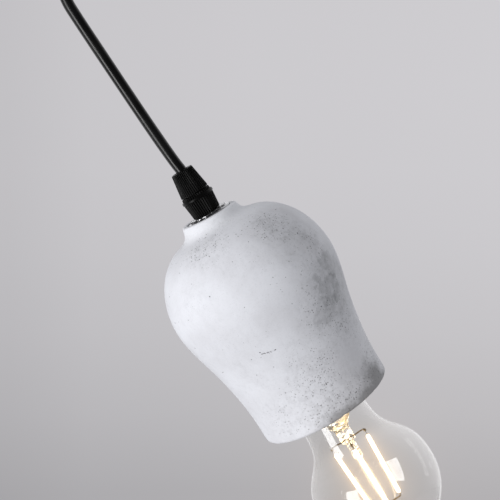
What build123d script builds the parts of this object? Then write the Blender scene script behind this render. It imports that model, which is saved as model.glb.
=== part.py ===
"""Pendant ceiling light: a small cast concrete shade on a straight cord, with a clear filament bulb.

The origin is the middle of the ceiling bracket's upper face, on the ceiling. +Z is up, and the
lamp hangs down along -Z. All sizes are in millimetres.
"""

import math
import os

from build123d import *

# Canopy and ceiling bracket
CANOPY_R = 45.0
CANOPY_H = 26.0
CANOPY_WALL = 1.2
CANOPY_EDGE_ROUND = 5.0
BRACKET_T = 1.6
BRACKET_W = 20.0
BRACKET_TAB_W = 14.0
BRACKET_TAB_DROP = 11.0
BRACKET_WALL_GAP = 1.0
SLOT_W = 4.6
SLOT_L = 12.0
SLOT_SPACING = 60.0
SUPPLY_HOLE_R = 6.0
SIDE_SCREW_R = 2.0
SIDE_SCREW_HEAD_R = 3.6
SIDE_SCREW_HEAD_H = 2.4
SIDE_SCREW_STICK_IN = 2.0
SIDE_SCREW_ROUND = 0.5
TERMINAL_L = 15.0
TERMINAL_W = 18.0
TERMINAL_H = 11.0
TERMINAL_BARREL_W = 7.2
TERMINAL_SCREW_R = 1.9
TERMINAL_SCREW_H = 1.6
TERMINAL_HOLE_R = 1.8
TERMINAL_FROM_HOLE = 2.0

# Cord
CORD_D = 5.2
CORD_DROP = 101.0
CORD_END_GAP = 0.3
CORD_PIVOT_OUT = 3.0
CORD_TAIL_IN_CANOPY = 4.0
CORD_TAIL_IN_HOLDER = 4.0

# Ribbed cord grip, one at the canopy and one on the shade
GRIP_SEAT_R = 6.6
GRIP_BODY_R = 7.4
GRIP_BODY_H = 7.75
GRIP_FLANGE_R = 7.85
GRIP_FLANGE_H = 3.6
GRIP_NECK_R = 4.7
GRIP_NECK_H = 4.6
GRIP_NUT_R = 6.55
GRIP_NUT_TOP_R = 5.4
GRIP_NUT_H = 11.2
GRIP_NUT_RING_H = 1.0
GRIP_NUT_ROOF = 2.2
GRIP_MOUTH_ROUND = 1.0
GRIP_RIBS = 40
GRIP_RIB_DEPTH = 0.4
GRIP_ROUND = 0.5
GRIP_RUN_GAP = 0.3
GRIP_LAND_H = 3.0
COLLET_H = 5.4
COLLET_WALL = 1.1
COLLET_SLIT = 0.9

# Threaded tube and its washers and nuts
TUBE_R = 4.9
TUBE_BORE_R = 3.6
TUBE_IN_GRIP = 4.0
TUBE_IN_HOLDER = 7.0
TUBE_IN_CANOPY = 9.0
HEX_ACROSS = 14.0
HEX_H = 4.0
SEAT_WASHER_R = 10.5
SEAT_WASHER_T = 1.5
TOOTH_WASHER_T = 0.9
TOOTH_WASHER_RING_R = 7.3
TOOTH_WASHER_R = 9.0
TOOTH_COUNT = 10
TOOTH_W = 2.6
TOOTH_T = 0.5
TOOTH_TWIST = 8.0
INNER_WASHER_R = 12.0
INNER_WASHER_T = 1.2
THROUGH_CLEAR = 0.5

# Concrete shade
SHADE_H = 103.8
COLLAR_R = 13.2
COLLAR_DROP = 3.2
COLLAR_FLARE = 0.9
BELLY_R = 40.4
BELLY_DROP = 39.0
WAIST_R = 32.3
WAIST_RISE = 20.0
RIM_R = 31.6
SHADE_WALL = 7.8
SHADE_ROOF = 16.0
SHADE_RIM_ROUND = 1.6
SHADE_LIP_ROUND = 1.2
WASHER_SUNK = 0.6
RECESS_CLEAR = 0.3
SHOULDER_SLOPE = 46.0
# Shares of the way out and down from the collar to the belly, and in and down from there to the waist
NECK_OUT = 0.31
NECK_DOWN = 0.14
SHOULDER_OUT = 0.72
SHOULDER_DOWN = 0.37
FLANK_IN = 0.54
FLANK_DOWN = 0.53

# Lamp holder for a 27 mm screw cap
HOLDER_R = 19.0
HOLDER_TOP_DROP = 43.0
HOLDER_BOSS_R = 8.5
HOLDER_BOSS_H = 4.0
HOLDER_CAP_H = 19.0
HOLDER_CAP_WALL = 2.4
HOLDER_SKIRT_H = 35.0
HOLDER_SKIRT_WALL = 2.2
HOLDER_SPIGOT_H = 5.0
HOLDER_CORE_H = 9.0
HOLDER_CORE_DROP = 61.5
HOLDER_SHELL_R = 14.2
HOLDER_SHELL_WALL = 0.5
HOLDER_SHELL_H = 21.0
HOLDER_SCREW_R = 2.4
HOLDER_SCREW_H = 2.0
HOLDER_SCREW_AT = 9.5
CONTACT_W = 5.0
CONTACT_L = 16.0
CONTACT_T = 0.5
CONTACT_STEP = 1.8
CONTACT_GAP = 0.3

# Bulb, 60 mm wide with a 27 mm screw cap
BULB_R = 30.0
BULB_L = 106.0
BULB_CAP_R = 13.1
BULB_CAP_H = 22.0
BULB_CAP_WALL = 0.4
BULB_INSULATOR_H = 2.8
BULB_INSULATOR_R = 10.5
BULB_TIP_R = 4.8
BULB_TIP_H = 1.2
BULB_NECK_R = 18.0
BULB_NECK_DROP = 49.3
BULB_NECK_FLARE = 1.1
BULB_FLANK_TILT = 45.0
BULB_GLASS_WALL = 0.9
BULB_GLASS_IN_CAP = 6.0
STEM_FOOT_R = 9.0
STEM_WALL = 0.8
STEM_TUBE_R = 7.2
STEM_TUBE_H = 19.4
STEM_FLARE_H = 26.4
PINCH_R = 3.5
PINCH_H = 4.7
ROD_R = 2.2
ROD_H = 10.0
FILAMENT_COUNT = 4
FILAMENT_R = 1.0
FILAMENT_L = 36.0
FILAMENT_TOP_AT = 8.8
FILAMENT_BELOW_LEAD = 0.3
FILAMENT_LEAN = 2.5
WIRE_R = 0.35

# Places worked out from the sizes above
CORD_R = CORD_D / 2
GRIP_BASE_H = GRIP_BODY_H + GRIP_FLANGE_H
GRIP_H = GRIP_BASE_H + GRIP_RUN_GAP + GRIP_NUT_H
COLLAR_Z = -(CANOPY_H + GRIP_H + CORD_DROP + GRIP_H + TOOTH_WASHER_T - WASHER_SUNK)
LAMP_GRIP_Z = COLLAR_Z - WASHER_SUNK + TOOTH_WASHER_T
SEAT_WASHER_TOP = COLLAR_Z - WASHER_SUNK
RECESS_FLOOR = SEAT_WASHER_TOP - SEAT_WASHER_T
SHADE_CEILING = COLLAR_Z - SHADE_ROOF
HOLDER_TOP = COLLAR_Z - HOLDER_TOP_DROP
HOLDER_SPLIT = HOLDER_TOP - HOLDER_CAP_H
CORE_TOP = COLLAR_Z - HOLDER_CORE_DROP
CORE_BOTTOM = CORE_TOP - HOLDER_CORE_H
SPIGOT_R = HOLDER_R - HOLDER_CAP_WALL
CORE_R = SPIGOT_R - HOLDER_SKIRT_WALL
BULB_TOP = CORE_BOTTOM - CONTACT_STEP - CONTACT_T - CONTACT_GAP
BULB_INSULATOR_TOP = BULB_TOP - BULB_TIP_H
BULB_CAP_TOP = BULB_INSULATOR_TOP - BULB_INSULATOR_H
BULB_CAP_BOTTOM = BULB_CAP_TOP - BULB_CAP_H
BULB_BOTTOM = BULB_TOP - BULB_L
BULB_CENTRE = BULB_BOTTOM + BULB_R

os.makedirs("parts", exist_ok=True)


def save(piece, name):
    """Label a finished piece and write it as its own file."""
    piece.label = name
    export_step(piece, f"parts/{name}.step")


def side_plane(height, up):
    """A plane through the axis, x outward along +X, y along the way the piece points."""
    return Plane(origin=(0, 0, height), x_dir=(1, 0, 0), z_dir=(0, -up, 0))


def level_plane(height, up=1):
    """A level plane on the axis, facing the way the piece points."""
    return Plane(origin=(0, 0, height), x_dir=(1, 0, 0), z_dir=(0, 0, up))


def ribbed_outline(crest_r):
    """Corners of a ribbed circle, with a crest and a valley for each rib."""
    corners = []
    for step in range(2 * GRIP_RIBS):
        angle = math.pi * step / GRIP_RIBS
        radius = crest_r if step % 2 == 0 else crest_r - GRIP_RIB_DEPTH
        corners.append((radius * math.cos(angle), radius * math.sin(angle)))
    return corners


def make_ribs(low, high, low_r, high_r):
    """A ribbed frustum between two level planes."""
    with BuildPart() as ribs:
        with BuildSketch(low):
            Polygon(*ribbed_outline(low_r), align=None)
        with BuildSketch(high):
            Polygon(*ribbed_outline(high_r), align=None)
        loft(ruled=True)
    return ribs.part


# Cord grip

def make_grip_base(seat, up):
    """The grip's lower half: ribbed taper, smooth flange, threaded neck with the collet's cone."""
    neck_top = GRIP_BASE_H + GRIP_NECK_H
    cone_low = neck_top - COLLET_H / 2
    cone_low_r = CORD_R + GRIP_RUN_GAP
    cone_top_r = cone_low_r + COLLET_WALL
    land_low = TUBE_IN_GRIP + GRIP_RUN_GAP
    flange_low = level_plane(seat + up * GRIP_BODY_H, up)
    ribs = make_ribs(level_plane(seat, up), flange_low, GRIP_SEAT_R, GRIP_BODY_R)
    with BuildPart() as base:
        with BuildSketch(flange_low):
            Circle(GRIP_FLANGE_R)
        extrude(amount=GRIP_FLANGE_H)
        fillet(base.edges().filter_by(GeomType.CIRCLE), radius=GRIP_ROUND)
        add(ribs)
        with BuildSketch(level_plane(seat + up * GRIP_BASE_H, up)):
            Circle(GRIP_NECK_R)
        extrude(amount=GRIP_NECK_H)
        with BuildSketch(side_plane(seat, up)):
            Polygon(
                (0, 0),
                (TUBE_R, 0),
                (TUBE_R, TUBE_IN_GRIP),
                (CORD_R, land_low),
                (CORD_R, land_low + GRIP_LAND_H),
                (cone_low_r, land_low + GRIP_LAND_H + GRIP_RUN_GAP),
                (cone_low_r, cone_low),
                (cone_top_r, neck_top),
                (0, neck_top),
                align=None,
            )
        revolve(axis=Axis.Z, mode=Mode.SUBTRACT)
    return base.part


def make_grip_collet(seat, up):
    """The slit cone inside the grip that closes on the cord when the nut goes down."""
    low = GRIP_BASE_H + GRIP_NECK_H - COLLET_H / 4
    waist = low + COLLET_H / 2
    high = low + COLLET_H
    bore = CORD_R + GRIP_RUN_GAP
    with BuildPart() as collet:
        with BuildSketch(side_plane(seat, up)):
            Polygon(
                (bore, low),
                (bore + COLLET_WALL / 4, low),
                (bore + COLLET_WALL, waist),
                (bore + COLLET_WALL / 4, high),
                (bore, high),
                align=None,
            )
        revolve(axis=Axis.Z)
        with BuildSketch(level_plane(seat + up * low, up)):
            with Locations((bore + COLLET_WALL / 2, 0)):
                Rectangle(2 * COLLET_WALL, COLLET_SLIT)
        extrude(amount=COLLET_H, mode=Mode.SUBTRACT)
    return collet.part


def make_grip_nut(seat, up):
    """The grip's tapered ribbed nut, with a bell mouth for the cord."""
    low = GRIP_BASE_H + GRIP_RUN_GAP
    high = low + GRIP_NUT_H
    taper = (GRIP_NUT_R - GRIP_NUT_TOP_R) / GRIP_NUT_H
    ribs_low = low + GRIP_NUT_RING_H
    ribs_high = high - GRIP_NUT_RING_H
    roof = high - GRIP_NUT_ROOF
    mouth = CORD_R + 2 * GRIP_RUN_GAP
    thread_top = GRIP_BASE_H + GRIP_NECK_H + 2 * GRIP_RUN_GAP
    ribs = make_ribs(
        level_plane(seat + up * ribs_low, up),
        level_plane(seat + up * ribs_high, up),
        GRIP_NUT_R,
        GRIP_NUT_TOP_R,
    )
    with BuildPart() as nut:
        with BuildSketch(side_plane(seat, up)):
            Polygon(
                (0, low),
                (GRIP_NUT_R, low),
                (GRIP_NUT_R, ribs_low),
                (GRIP_NUT_R - GRIP_RIB_DEPTH, ribs_low),
                (GRIP_NUT_TOP_R - GRIP_RIB_DEPTH, ribs_high),
                (GRIP_NUT_TOP_R, ribs_high),
                (GRIP_NUT_TOP_R - taper * GRIP_NUT_RING_H, high),
                (0, high),
                align=None,
            )
        revolve(axis=Axis.Z)
        outer_rim = nut.edges().filter_by(GeomType.CIRCLE).group_by(Axis.Z)[-1 if up > 0 else 0]
        fillet(outer_rim, radius=GRIP_ROUND)
        add(ribs)
        with BuildSketch(side_plane(seat, up)):
            Polygon(
                (0, low),
                (GRIP_NECK_R + GRIP_RUN_GAP, low),
                (GRIP_NECK_R + GRIP_RUN_GAP, thread_top),
                (mouth, roof),
                (mouth, high),
                (0, high),
                align=None,
            )
        revolve(axis=Axis.Z, mode=Mode.SUBTRACT)
        inner_rim = nut.edges().filter_by(GeomType.CIRCLE).group_by(Axis.Z)[-1 if up > 0 else 0]
        fillet(inner_rim.sort_by(SortBy.RADIUS)[0], radius=GRIP_MOUTH_ROUND)
    return nut.part


for grip, seat_height, pointing in (("canopy", -CANOPY_H, -1), ("lamp", LAMP_GRIP_Z, 1)):
    save(make_grip_base(seat_height, pointing), f"{grip}_grip_base")
    save(make_grip_collet(seat_height, pointing), f"{grip}_grip_collet")
    save(make_grip_nut(seat_height, pointing), f"{grip}_grip_nut")


# Canopy and ceiling bracket

with BuildPart() as canopy_cup:
    with BuildSketch(level_plane(-CANOPY_H)):
        Circle(CANOPY_R)
    extrude(amount=CANOPY_H)
    fillet(canopy_cup.edges().group_by(Axis.Z)[0], radius=CANOPY_EDGE_ROUND)
    offset(amount=-CANOPY_WALL, openings=canopy_cup.faces().sort_by(Axis.Z)[-1])
    with BuildSketch(level_plane(-CANOPY_H)):
        Circle(TUBE_R + THROUGH_CLEAR)
    extrude(amount=CANOPY_WALL, mode=Mode.SUBTRACT)
    with BuildSketch(Plane.YZ):
        with Locations((0, -BRACKET_TAB_DROP / 2)):
            Circle(SIDE_SCREW_R)
    extrude(amount=CANOPY_R, both=True, mode=Mode.SUBTRACT)
save(canopy_cup.part, "canopy_cup")

TAB_X = CANOPY_R - CANOPY_WALL - BRACKET_WALL_GAP
with BuildPart() as ceiling_bracket:
    with BuildSketch(level_plane(-BRACKET_T)):
        Rectangle(2 * TAB_X, BRACKET_TAB_W)
        Rectangle(2 * (TAB_X - BRACKET_W / 2), BRACKET_W)
    extrude(amount=BRACKET_T)
    with BuildSketch(level_plane(-BRACKET_TAB_DROP)):
        for tab_side in (-1, 1):
            with Locations((tab_side * (TAB_X - BRACKET_T / 2), 0)):
                Rectangle(BRACKET_T, BRACKET_TAB_W)
    extrude(amount=BRACKET_TAB_DROP - BRACKET_T)
    with BuildSketch(level_plane(-BRACKET_T)):
        Circle(SUPPLY_HOLE_R)
        with GridLocations(SLOT_SPACING, 0, 2, 1):
            SlotOverall(SLOT_L, SLOT_W)
    extrude(amount=BRACKET_T, mode=Mode.SUBTRACT)
    with BuildSketch(Plane.YZ):
        with Locations((0, -BRACKET_TAB_DROP / 2)):
            Circle(SIDE_SCREW_R)
    extrude(amount=TAB_X, both=True, mode=Mode.SUBTRACT)
save(ceiling_bracket.part, "ceiling_bracket")

for side_name, turn in (("right", 0), ("left", 180)):
    outward = Vector(1, 0, 0).rotate(Axis.Z, turn)
    head_plane = Plane(
        origin=outward * CANOPY_R + Vector(0, 0, -BRACKET_TAB_DROP / 2),
        x_dir=(0, 0, 1),
        z_dir=outward,
    )
    with BuildPart() as side_screw:
        with BuildSketch(head_plane):
            Circle(SIDE_SCREW_HEAD_R)
        extrude(amount=SIDE_SCREW_HEAD_H)
        head_face = side_screw.faces().sort_by(Axis(origin=(0, 0, 0), direction=outward))[-1]
        fillet(head_face.edges(), radius=SIDE_SCREW_ROUND)
        with BuildSketch(head_plane):
            Circle(SIDE_SCREW_R)
        extrude(amount=-(CANOPY_R - TAB_X + BRACKET_T + SIDE_SCREW_STICK_IN))
    save(side_screw.part, f"canopy_screw_{side_name}")

TERMINAL_X = SUPPLY_HOLE_R + TERMINAL_FROM_HOLE + TERMINAL_L / 2
with BuildPart() as terminal_block:
    with BuildSketch(level_plane(-BRACKET_T)):
        with Locations((TERMINAL_X, 0)):
            Rectangle(TERMINAL_L, TERMINAL_W)
    extrude(amount=-TERMINAL_H)
    with BuildSketch(level_plane(-BRACKET_T - TERMINAL_H)):
        with Locations((TERMINAL_X, 0)):
            with GridLocations(TERMINAL_L / 2, TERMINAL_W / 2, 2, 2):
                Circle(TERMINAL_SCREW_R)
    extrude(amount=2 * TERMINAL_SCREW_H, mode=Mode.SUBTRACT)
    with BuildSketch(Plane.YZ.offset(TERMINAL_X)):
        with Locations((0, -BRACKET_T - TERMINAL_H / 2)):
            with GridLocations(TERMINAL_W / 2, 0, 2, 1):
                Circle(TERMINAL_HOLE_R)
    extrude(amount=TERMINAL_L / 2, both=True, mode=Mode.SUBTRACT)
    with BuildSketch(Plane.YZ.offset(TERMINAL_X)):
        with Locations((0, -BRACKET_T - TERMINAL_H)):
            Rectangle(TERMINAL_W - 2 * TERMINAL_BARREL_W, TERMINAL_H / 2)
    extrude(amount=TERMINAL_L / 2, both=True, mode=Mode.SUBTRACT)
save(terminal_block.part, "terminal_block")

with BuildPart() as terminal_screws:
    with BuildSketch(level_plane(-BRACKET_T - TERMINAL_H + TERMINAL_SCREW_H)):
        with Locations((TERMINAL_X, 0)):
            with GridLocations(TERMINAL_L / 2, TERMINAL_W / 2, 2, 2):
                Circle(TERMINAL_SCREW_R)
    extrude(amount=TERMINAL_SCREW_H)
save(terminal_screws.part, "terminal_screws")


def make_tube(top, bottom):
    """A plain length of the threaded tube."""
    with BuildPart() as tube:
        with BuildSketch(level_plane(bottom)):
            Circle(TUBE_R)
            Circle(TUBE_BORE_R, mode=Mode.SUBTRACT)
        extrude(amount=top - bottom)
    return tube.part


def make_hex_nut(top):
    """A thin hexagon nut on the threaded tube, with its corners taken off."""
    with BuildPart() as nut:
        with BuildSketch(level_plane(top - HEX_H)):
            RegularPolygon(HEX_ACROSS / 2, 6, major_radius=False)
        extrude(amount=HEX_H)
        with BuildSketch(level_plane(top - HEX_H)):
            Circle(HEX_ACROSS / 2 + GRIP_ROUND)
        extrude(amount=HEX_H, mode=Mode.INTERSECT)
        with BuildSketch(level_plane(top - HEX_H)):
            Circle(TUBE_R)
        extrude(amount=HEX_H, mode=Mode.SUBTRACT)
    return nut.part


def make_washer(top, thickness, radius, hole):
    """A flat round washer."""
    with BuildPart() as washer:
        with BuildSketch(level_plane(top - thickness)):
            Circle(radius)
            Circle(hole, mode=Mode.SUBTRACT)
        extrude(amount=thickness)
    return washer.part


CANOPY_FLOOR = -CANOPY_H + CANOPY_WALL
CANOPY_TUBE_TOP = CANOPY_FLOOR + TUBE_IN_CANOPY
save(make_tube(CANOPY_TUBE_TOP, -CANOPY_H - TUBE_IN_GRIP), "canopy_tube")
save(make_hex_nut(CANOPY_FLOOR + HEX_H), "canopy_nut")


# Cord: two short ends held in the grips, and the free run between them

def make_cord_length(top, bottom):
    """A straight length of cord that something holds."""
    with BuildPart() as length:
        with BuildSketch(level_plane(bottom)):
            Circle(CORD_R)
        extrude(amount=top - bottom)
    return length.part


UPPER_MOUTH = -CANOPY_H - GRIP_H
LOWER_MOUTH = LAMP_GRIP_Z + GRIP_H
TAIL_OUT = CORD_PIVOT_OUT - CORD_R - CORD_END_GAP
UPPER_PIVOT = UPPER_MOUTH - CORD_PIVOT_OUT
LOWER_PIVOT = LOWER_MOUTH + CORD_PIVOT_OUT
TUBE_BOTTOM = HOLDER_TOP - TUBE_IN_HOLDER

save(make_cord_length(CANOPY_TUBE_TOP + CORD_TAIL_IN_CANOPY, UPPER_MOUTH - TAIL_OUT), "canopy_cord_end")
save(make_cord_length(LOWER_MOUTH + TAIL_OUT, TUBE_BOTTOM - CORD_TAIL_IN_HOLDER), "lamp_cord_end")

with BuildPart() as cord:
    with BuildSketch(Plane.XZ):
        with BuildLine():
            Line((0, LOWER_PIVOT - CORD_R), (0, UPPER_PIVOT + CORD_R))
            RadiusArc((0, UPPER_PIVOT + CORD_R), (CORD_R, UPPER_PIVOT), CORD_R)
            Line((CORD_R, UPPER_PIVOT), (CORD_R, LOWER_PIVOT))
            RadiusArc((CORD_R, LOWER_PIVOT), (0, LOWER_PIVOT - CORD_R), CORD_R)
        make_face()
    revolve(axis=Axis.Z)
save(cord.part, "cord")
print(f"cord: one straight run of {UPPER_PIVOT - LOWER_PIVOT:.1f} mm between its pivots, no turns")


# Threaded tube, washers and nut on the shade

save(make_tube(LAMP_GRIP_Z + TUBE_IN_GRIP, TUBE_BOTTOM), "lamp_tube")
save(make_washer(SEAT_WASHER_TOP, SEAT_WASHER_T, SEAT_WASHER_R, TUBE_R + THROUGH_CLEAR), "seat_washer")
save(make_washer(SHADE_CEILING, INNER_WASHER_T, INNER_WASHER_R, TUBE_R + THROUGH_CLEAR), "inner_washer")
save(make_hex_nut(SHADE_CEILING - INNER_WASHER_T), "lamp_nut")

with BuildPart() as tooth_washer:
    with BuildSketch(level_plane(SEAT_WASHER_TOP)):
        Circle(TOOTH_WASHER_RING_R)
    extrude(amount=TOOTH_WASHER_T)
    tooth_reach = TOOTH_WASHER_R - TUBE_R
    with Locations((0, 0, SEAT_WASHER_TOP + TOOTH_WASHER_T / 2)):
        with PolarLocations(TOOTH_WASHER_R - tooth_reach / 2, TOOTH_COUNT):
            Box(tooth_reach, TOOTH_W, TOOTH_T, rotation=(TOOTH_TWIST, 0, 0))
    with BuildSketch(level_plane(SEAT_WASHER_TOP)):
        Circle(TUBE_R + THROUGH_CLEAR)
    extrude(amount=TOOTH_WASHER_T, mode=Mode.SUBTRACT)
save(tooth_washer.part, "tooth_washer")


# Concrete shade

def between(low, high, share):
    """The value a given share of the way from low to high."""
    return low + share * (high - low)


def shade_flank(wall):
    """Points down the shade from shoulder to rim, a wall's thickness in from the outside."""
    shoulder_r = between(COLLAR_R, BELLY_R, SHOULDER_OUT)
    shoulder_drop = between(COLLAR_DROP, BELLY_DROP, SHOULDER_DOWN)
    slope = math.radians(SHOULDER_SLOPE)
    waist_drop = SHADE_H - WAIST_RISE
    return (
        (shoulder_r - wall * math.sin(slope), -shoulder_drop - wall * math.cos(slope)),
        (BELLY_R - wall, -BELLY_DROP),
        (between(BELLY_R, WAIST_R, FLANK_IN) - wall, -between(BELLY_DROP, waist_drop, FLANK_DOWN)),
        (WAIST_R - wall, -waist_drop),
        (RIM_R - wall, -SHADE_H),
    )


RECESS_R = SEAT_WASHER_R + RECESS_CLEAR
neck_point = (between(COLLAR_R, BELLY_R, NECK_OUT), -between(COLLAR_DROP, BELLY_DROP, NECK_DOWN))
with BuildPart() as concrete_shade:
    with BuildSketch(side_plane(COLLAR_Z, 1)):
        with BuildLine():
            outside = Spline(
                (COLLAR_R + COLLAR_FLARE, -COLLAR_DROP),
                neck_point,
                *shade_flank(0),
                tangents=((COLLAR_FLARE, -COLLAR_DROP), (0, -1)),
            )
            inside = Spline(
                (INNER_WASHER_R + THROUGH_CLEAR, -SHADE_ROOF),
                *shade_flank(SHADE_WALL),
                tangents=((1, 0), (0, -1)),
            )
            Line(outside @ 1, inside @ 1)
            Polyline(
                inside @ 0,
                (TUBE_R + THROUGH_CLEAR, -SHADE_ROOF),
                (TUBE_R + THROUGH_CLEAR, RECESS_FLOOR - COLLAR_Z),
                (RECESS_R, RECESS_FLOOR - COLLAR_Z),
                (RECESS_R, 0),
                (COLLAR_R, 0),
                outside @ 0,
            )
        make_face()
    revolve(axis=Axis.Z)
    rings = concrete_shade.edges().filter_by(GeomType.CIRCLE)
    fillet(rings.group_by(Axis.Z)[0], radius=SHADE_RIM_ROUND)
    lip = concrete_shade.edges().filter_by(GeomType.CIRCLE).group_by(Axis.Z)[-1]
    fillet(lip.sort_by(SortBy.RADIUS)[-1], radius=SHADE_LIP_ROUND)
    lip = concrete_shade.edges().filter_by(GeomType.CIRCLE).group_by(Axis.Z)[-1]
    fillet(lip.sort_by(SortBy.RADIUS)[0], radius=RECESS_CLEAR)
save(concrete_shade.part, "concrete_shade")


# Lamp holder

with BuildPart() as holder_cap:
    with BuildSketch(side_plane(HOLDER_TOP, 1)):
        with BuildLine():
            boss_foot = (HOLDER_BOSS_R, -HOLDER_BOSS_H)
            dome_foot = (HOLDER_R, -HOLDER_CAP_H + HOLDER_SPIGOT_H)
            inner_top = (TUBE_R, -TUBE_IN_HOLDER)
            inner_foot = (SPIGOT_R, -HOLDER_CAP_H + HOLDER_SPIGOT_H)
            Line((TUBE_R, 0), (HOLDER_BOSS_R, 0))
            Line((HOLDER_BOSS_R, 0), boss_foot)
            EllipticalCenterArc(
                (HOLDER_BOSS_R, dome_foot[1]),
                HOLDER_R - HOLDER_BOSS_R,
                boss_foot[1] - dome_foot[1],
                start_angle=0,
                arc_size=90,
            )
            Line(dome_foot, (HOLDER_R, -HOLDER_CAP_H))
            Line((HOLDER_R, -HOLDER_CAP_H), (SPIGOT_R, -HOLDER_CAP_H))
            Line((SPIGOT_R, -HOLDER_CAP_H), inner_foot)
            EllipticalCenterArc(
                (TUBE_R, inner_foot[1]),
                SPIGOT_R - TUBE_R,
                inner_top[1] - inner_foot[1],
                start_angle=0,
                arc_size=90,
            )
            Line(inner_top, (TUBE_R, 0))
        make_face()
    revolve(axis=Axis.Z)
save(holder_cap.part, "holder_cap")

with BuildPart() as holder_skirt:
    with BuildSketch(side_plane(HOLDER_SPLIT, 1)):
        Polygon(
            (CORE_R, HOLDER_SPIGOT_H),
            (SPIGOT_R, HOLDER_SPIGOT_H),
            (SPIGOT_R, 0),
            (HOLDER_R, 0),
            (HOLDER_R, -HOLDER_SKIRT_H),
            (HOLDER_R - HOLDER_SKIRT_WALL, -HOLDER_SKIRT_H),
            (HOLDER_R - HOLDER_SKIRT_WALL, CORE_BOTTOM - HOLDER_SPLIT - HOLDER_SKIRT_WALL),
            (HOLDER_SHELL_R + THROUGH_CLEAR, CORE_BOTTOM - HOLDER_SPLIT - HOLDER_SKIRT_WALL),
            (HOLDER_SHELL_R + THROUGH_CLEAR, CORE_BOTTOM - HOLDER_SPLIT),
            (CORE_R, CORE_BOTTOM - HOLDER_SPLIT),
            align=None,
        )
    revolve(axis=Axis.Z)
    fillet(holder_skirt.edges().filter_by(GeomType.CIRCLE).group_by(Axis.Z)[0], radius=GRIP_ROUND)
save(holder_skirt.part, "holder_skirt")

with BuildPart() as holder_core:
    with BuildSketch(level_plane(CORE_BOTTOM)):
        Circle(CORE_R)
    extrude(amount=HOLDER_CORE_H)
    with BuildSketch(level_plane(CORE_TOP)):
        Rectangle(2 * CORE_R, HOLDER_SCREW_R)
    extrude(amount=-HOLDER_SCREW_H, mode=Mode.SUBTRACT)
save(holder_core.part, "holder_core")

with BuildPart() as holder_terminals:
    with BuildSketch(level_plane(CORE_TOP)):
        with GridLocations(0, 2 * HOLDER_SCREW_AT, 1, 2):
            Circle(HOLDER_SCREW_R)
    extrude(amount=HOLDER_SCREW_H)
save(holder_terminals.part, "holder_terminals")

save(
    make_washer(CORE_BOTTOM, HOLDER_SHELL_H, HOLDER_SHELL_R, HOLDER_SHELL_R - HOLDER_SHELL_WALL),
    "holder_screw_shell",
)

with BuildPart() as holder_contact:
    with BuildSketch(Plane.XZ):
        with BuildLine():
            leaf = FilletPolyline(
                (-CONTACT_L / 2, CORE_BOTTOM - CONTACT_T / 2),
                (-CONTACT_L / 4, CORE_BOTTOM - CONTACT_T / 2),
                (0, CORE_BOTTOM - CONTACT_STEP - CONTACT_T / 2),
                (CONTACT_L / 3, CORE_BOTTOM - CONTACT_STEP - CONTACT_T / 2),
                radius=CONTACT_STEP,
            )
            offset(leaf, amount=CONTACT_T / 2, side=Side.BOTH)
        make_face()
    extrude(amount=CONTACT_W / 2, both=True)
save(holder_contact.part, "holder_contact")


# Bulb

with BuildPart() as bulb_contact:
    with BuildSketch(side_plane(BULB_INSULATOR_TOP, 1)):
        with BuildLine():
            dome_r = (BULB_TIP_R**2 + BULB_TIP_H**2) / (2 * BULB_TIP_H)
            RadiusArc((0, BULB_TIP_H), (BULB_TIP_R, 0), dome_r)
            Polyline((BULB_TIP_R, 0), (0, 0), (0, BULB_TIP_H))
        make_face()
    revolve(axis=Axis.Z)
save(bulb_contact.part, "bulb_contact")

with BuildPart() as bulb_insulator:
    with BuildSketch(side_plane(BULB_CAP_TOP, 1)):
        Polygon(
            (0, 0),
            (BULB_INSULATOR_R, 0),
            (BULB_TIP_R, BULB_INSULATOR_H),
            (0, BULB_INSULATOR_H),
            align=None,
        )
    revolve(axis=Axis.Z)
save(bulb_insulator.part, "bulb_insulator")

with BuildPart() as bulb_cap:
    with BuildSketch(side_plane(BULB_CAP_TOP, 1)):
        shoulder = BULB_CAP_R - BULB_INSULATOR_R
        Polygon(
            (0, 0),
            (BULB_INSULATOR_R, 0),
            (BULB_CAP_R, -shoulder),
            (BULB_CAP_R, -BULB_CAP_H),
            (BULB_CAP_R - BULB_CAP_WALL, -BULB_CAP_H),
            (BULB_CAP_R - BULB_CAP_WALL, -shoulder),
            (BULB_INSULATOR_R - BULB_CAP_WALL, -BULB_CAP_WALL),
            (0, -BULB_CAP_WALL),
            align=None,
        )
    revolve(axis=Axis.Z)
save(bulb_cap.part, "bulb_cap")

GLASS_TOP = BULB_CAP_BOTTOM + BULB_GLASS_IN_CAP
SPIGOT_GLASS_R = BULB_CAP_R - BULB_CAP_WALL
GLASS_START = (BULB_NECK_FLARE, -1)


def glass_line(wall):
    """One side of the bulb's outline, from the cap down to the middle of the globe's foot."""
    neck_at = BULB_TOP - BULB_NECK_DROP
    globe_r = BULB_R - wall
    flank = math.radians(BULB_FLANK_TILT)
    return (
        (SPIGOT_GLASS_R - wall, BULB_CAP_BOTTOM),
        (BULB_NECK_R - wall, neck_at),
        (globe_r * math.cos(flank), BULB_CENTRE + globe_r * math.sin(flank)),
        (globe_r, BULB_CENTRE),
    )


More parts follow.
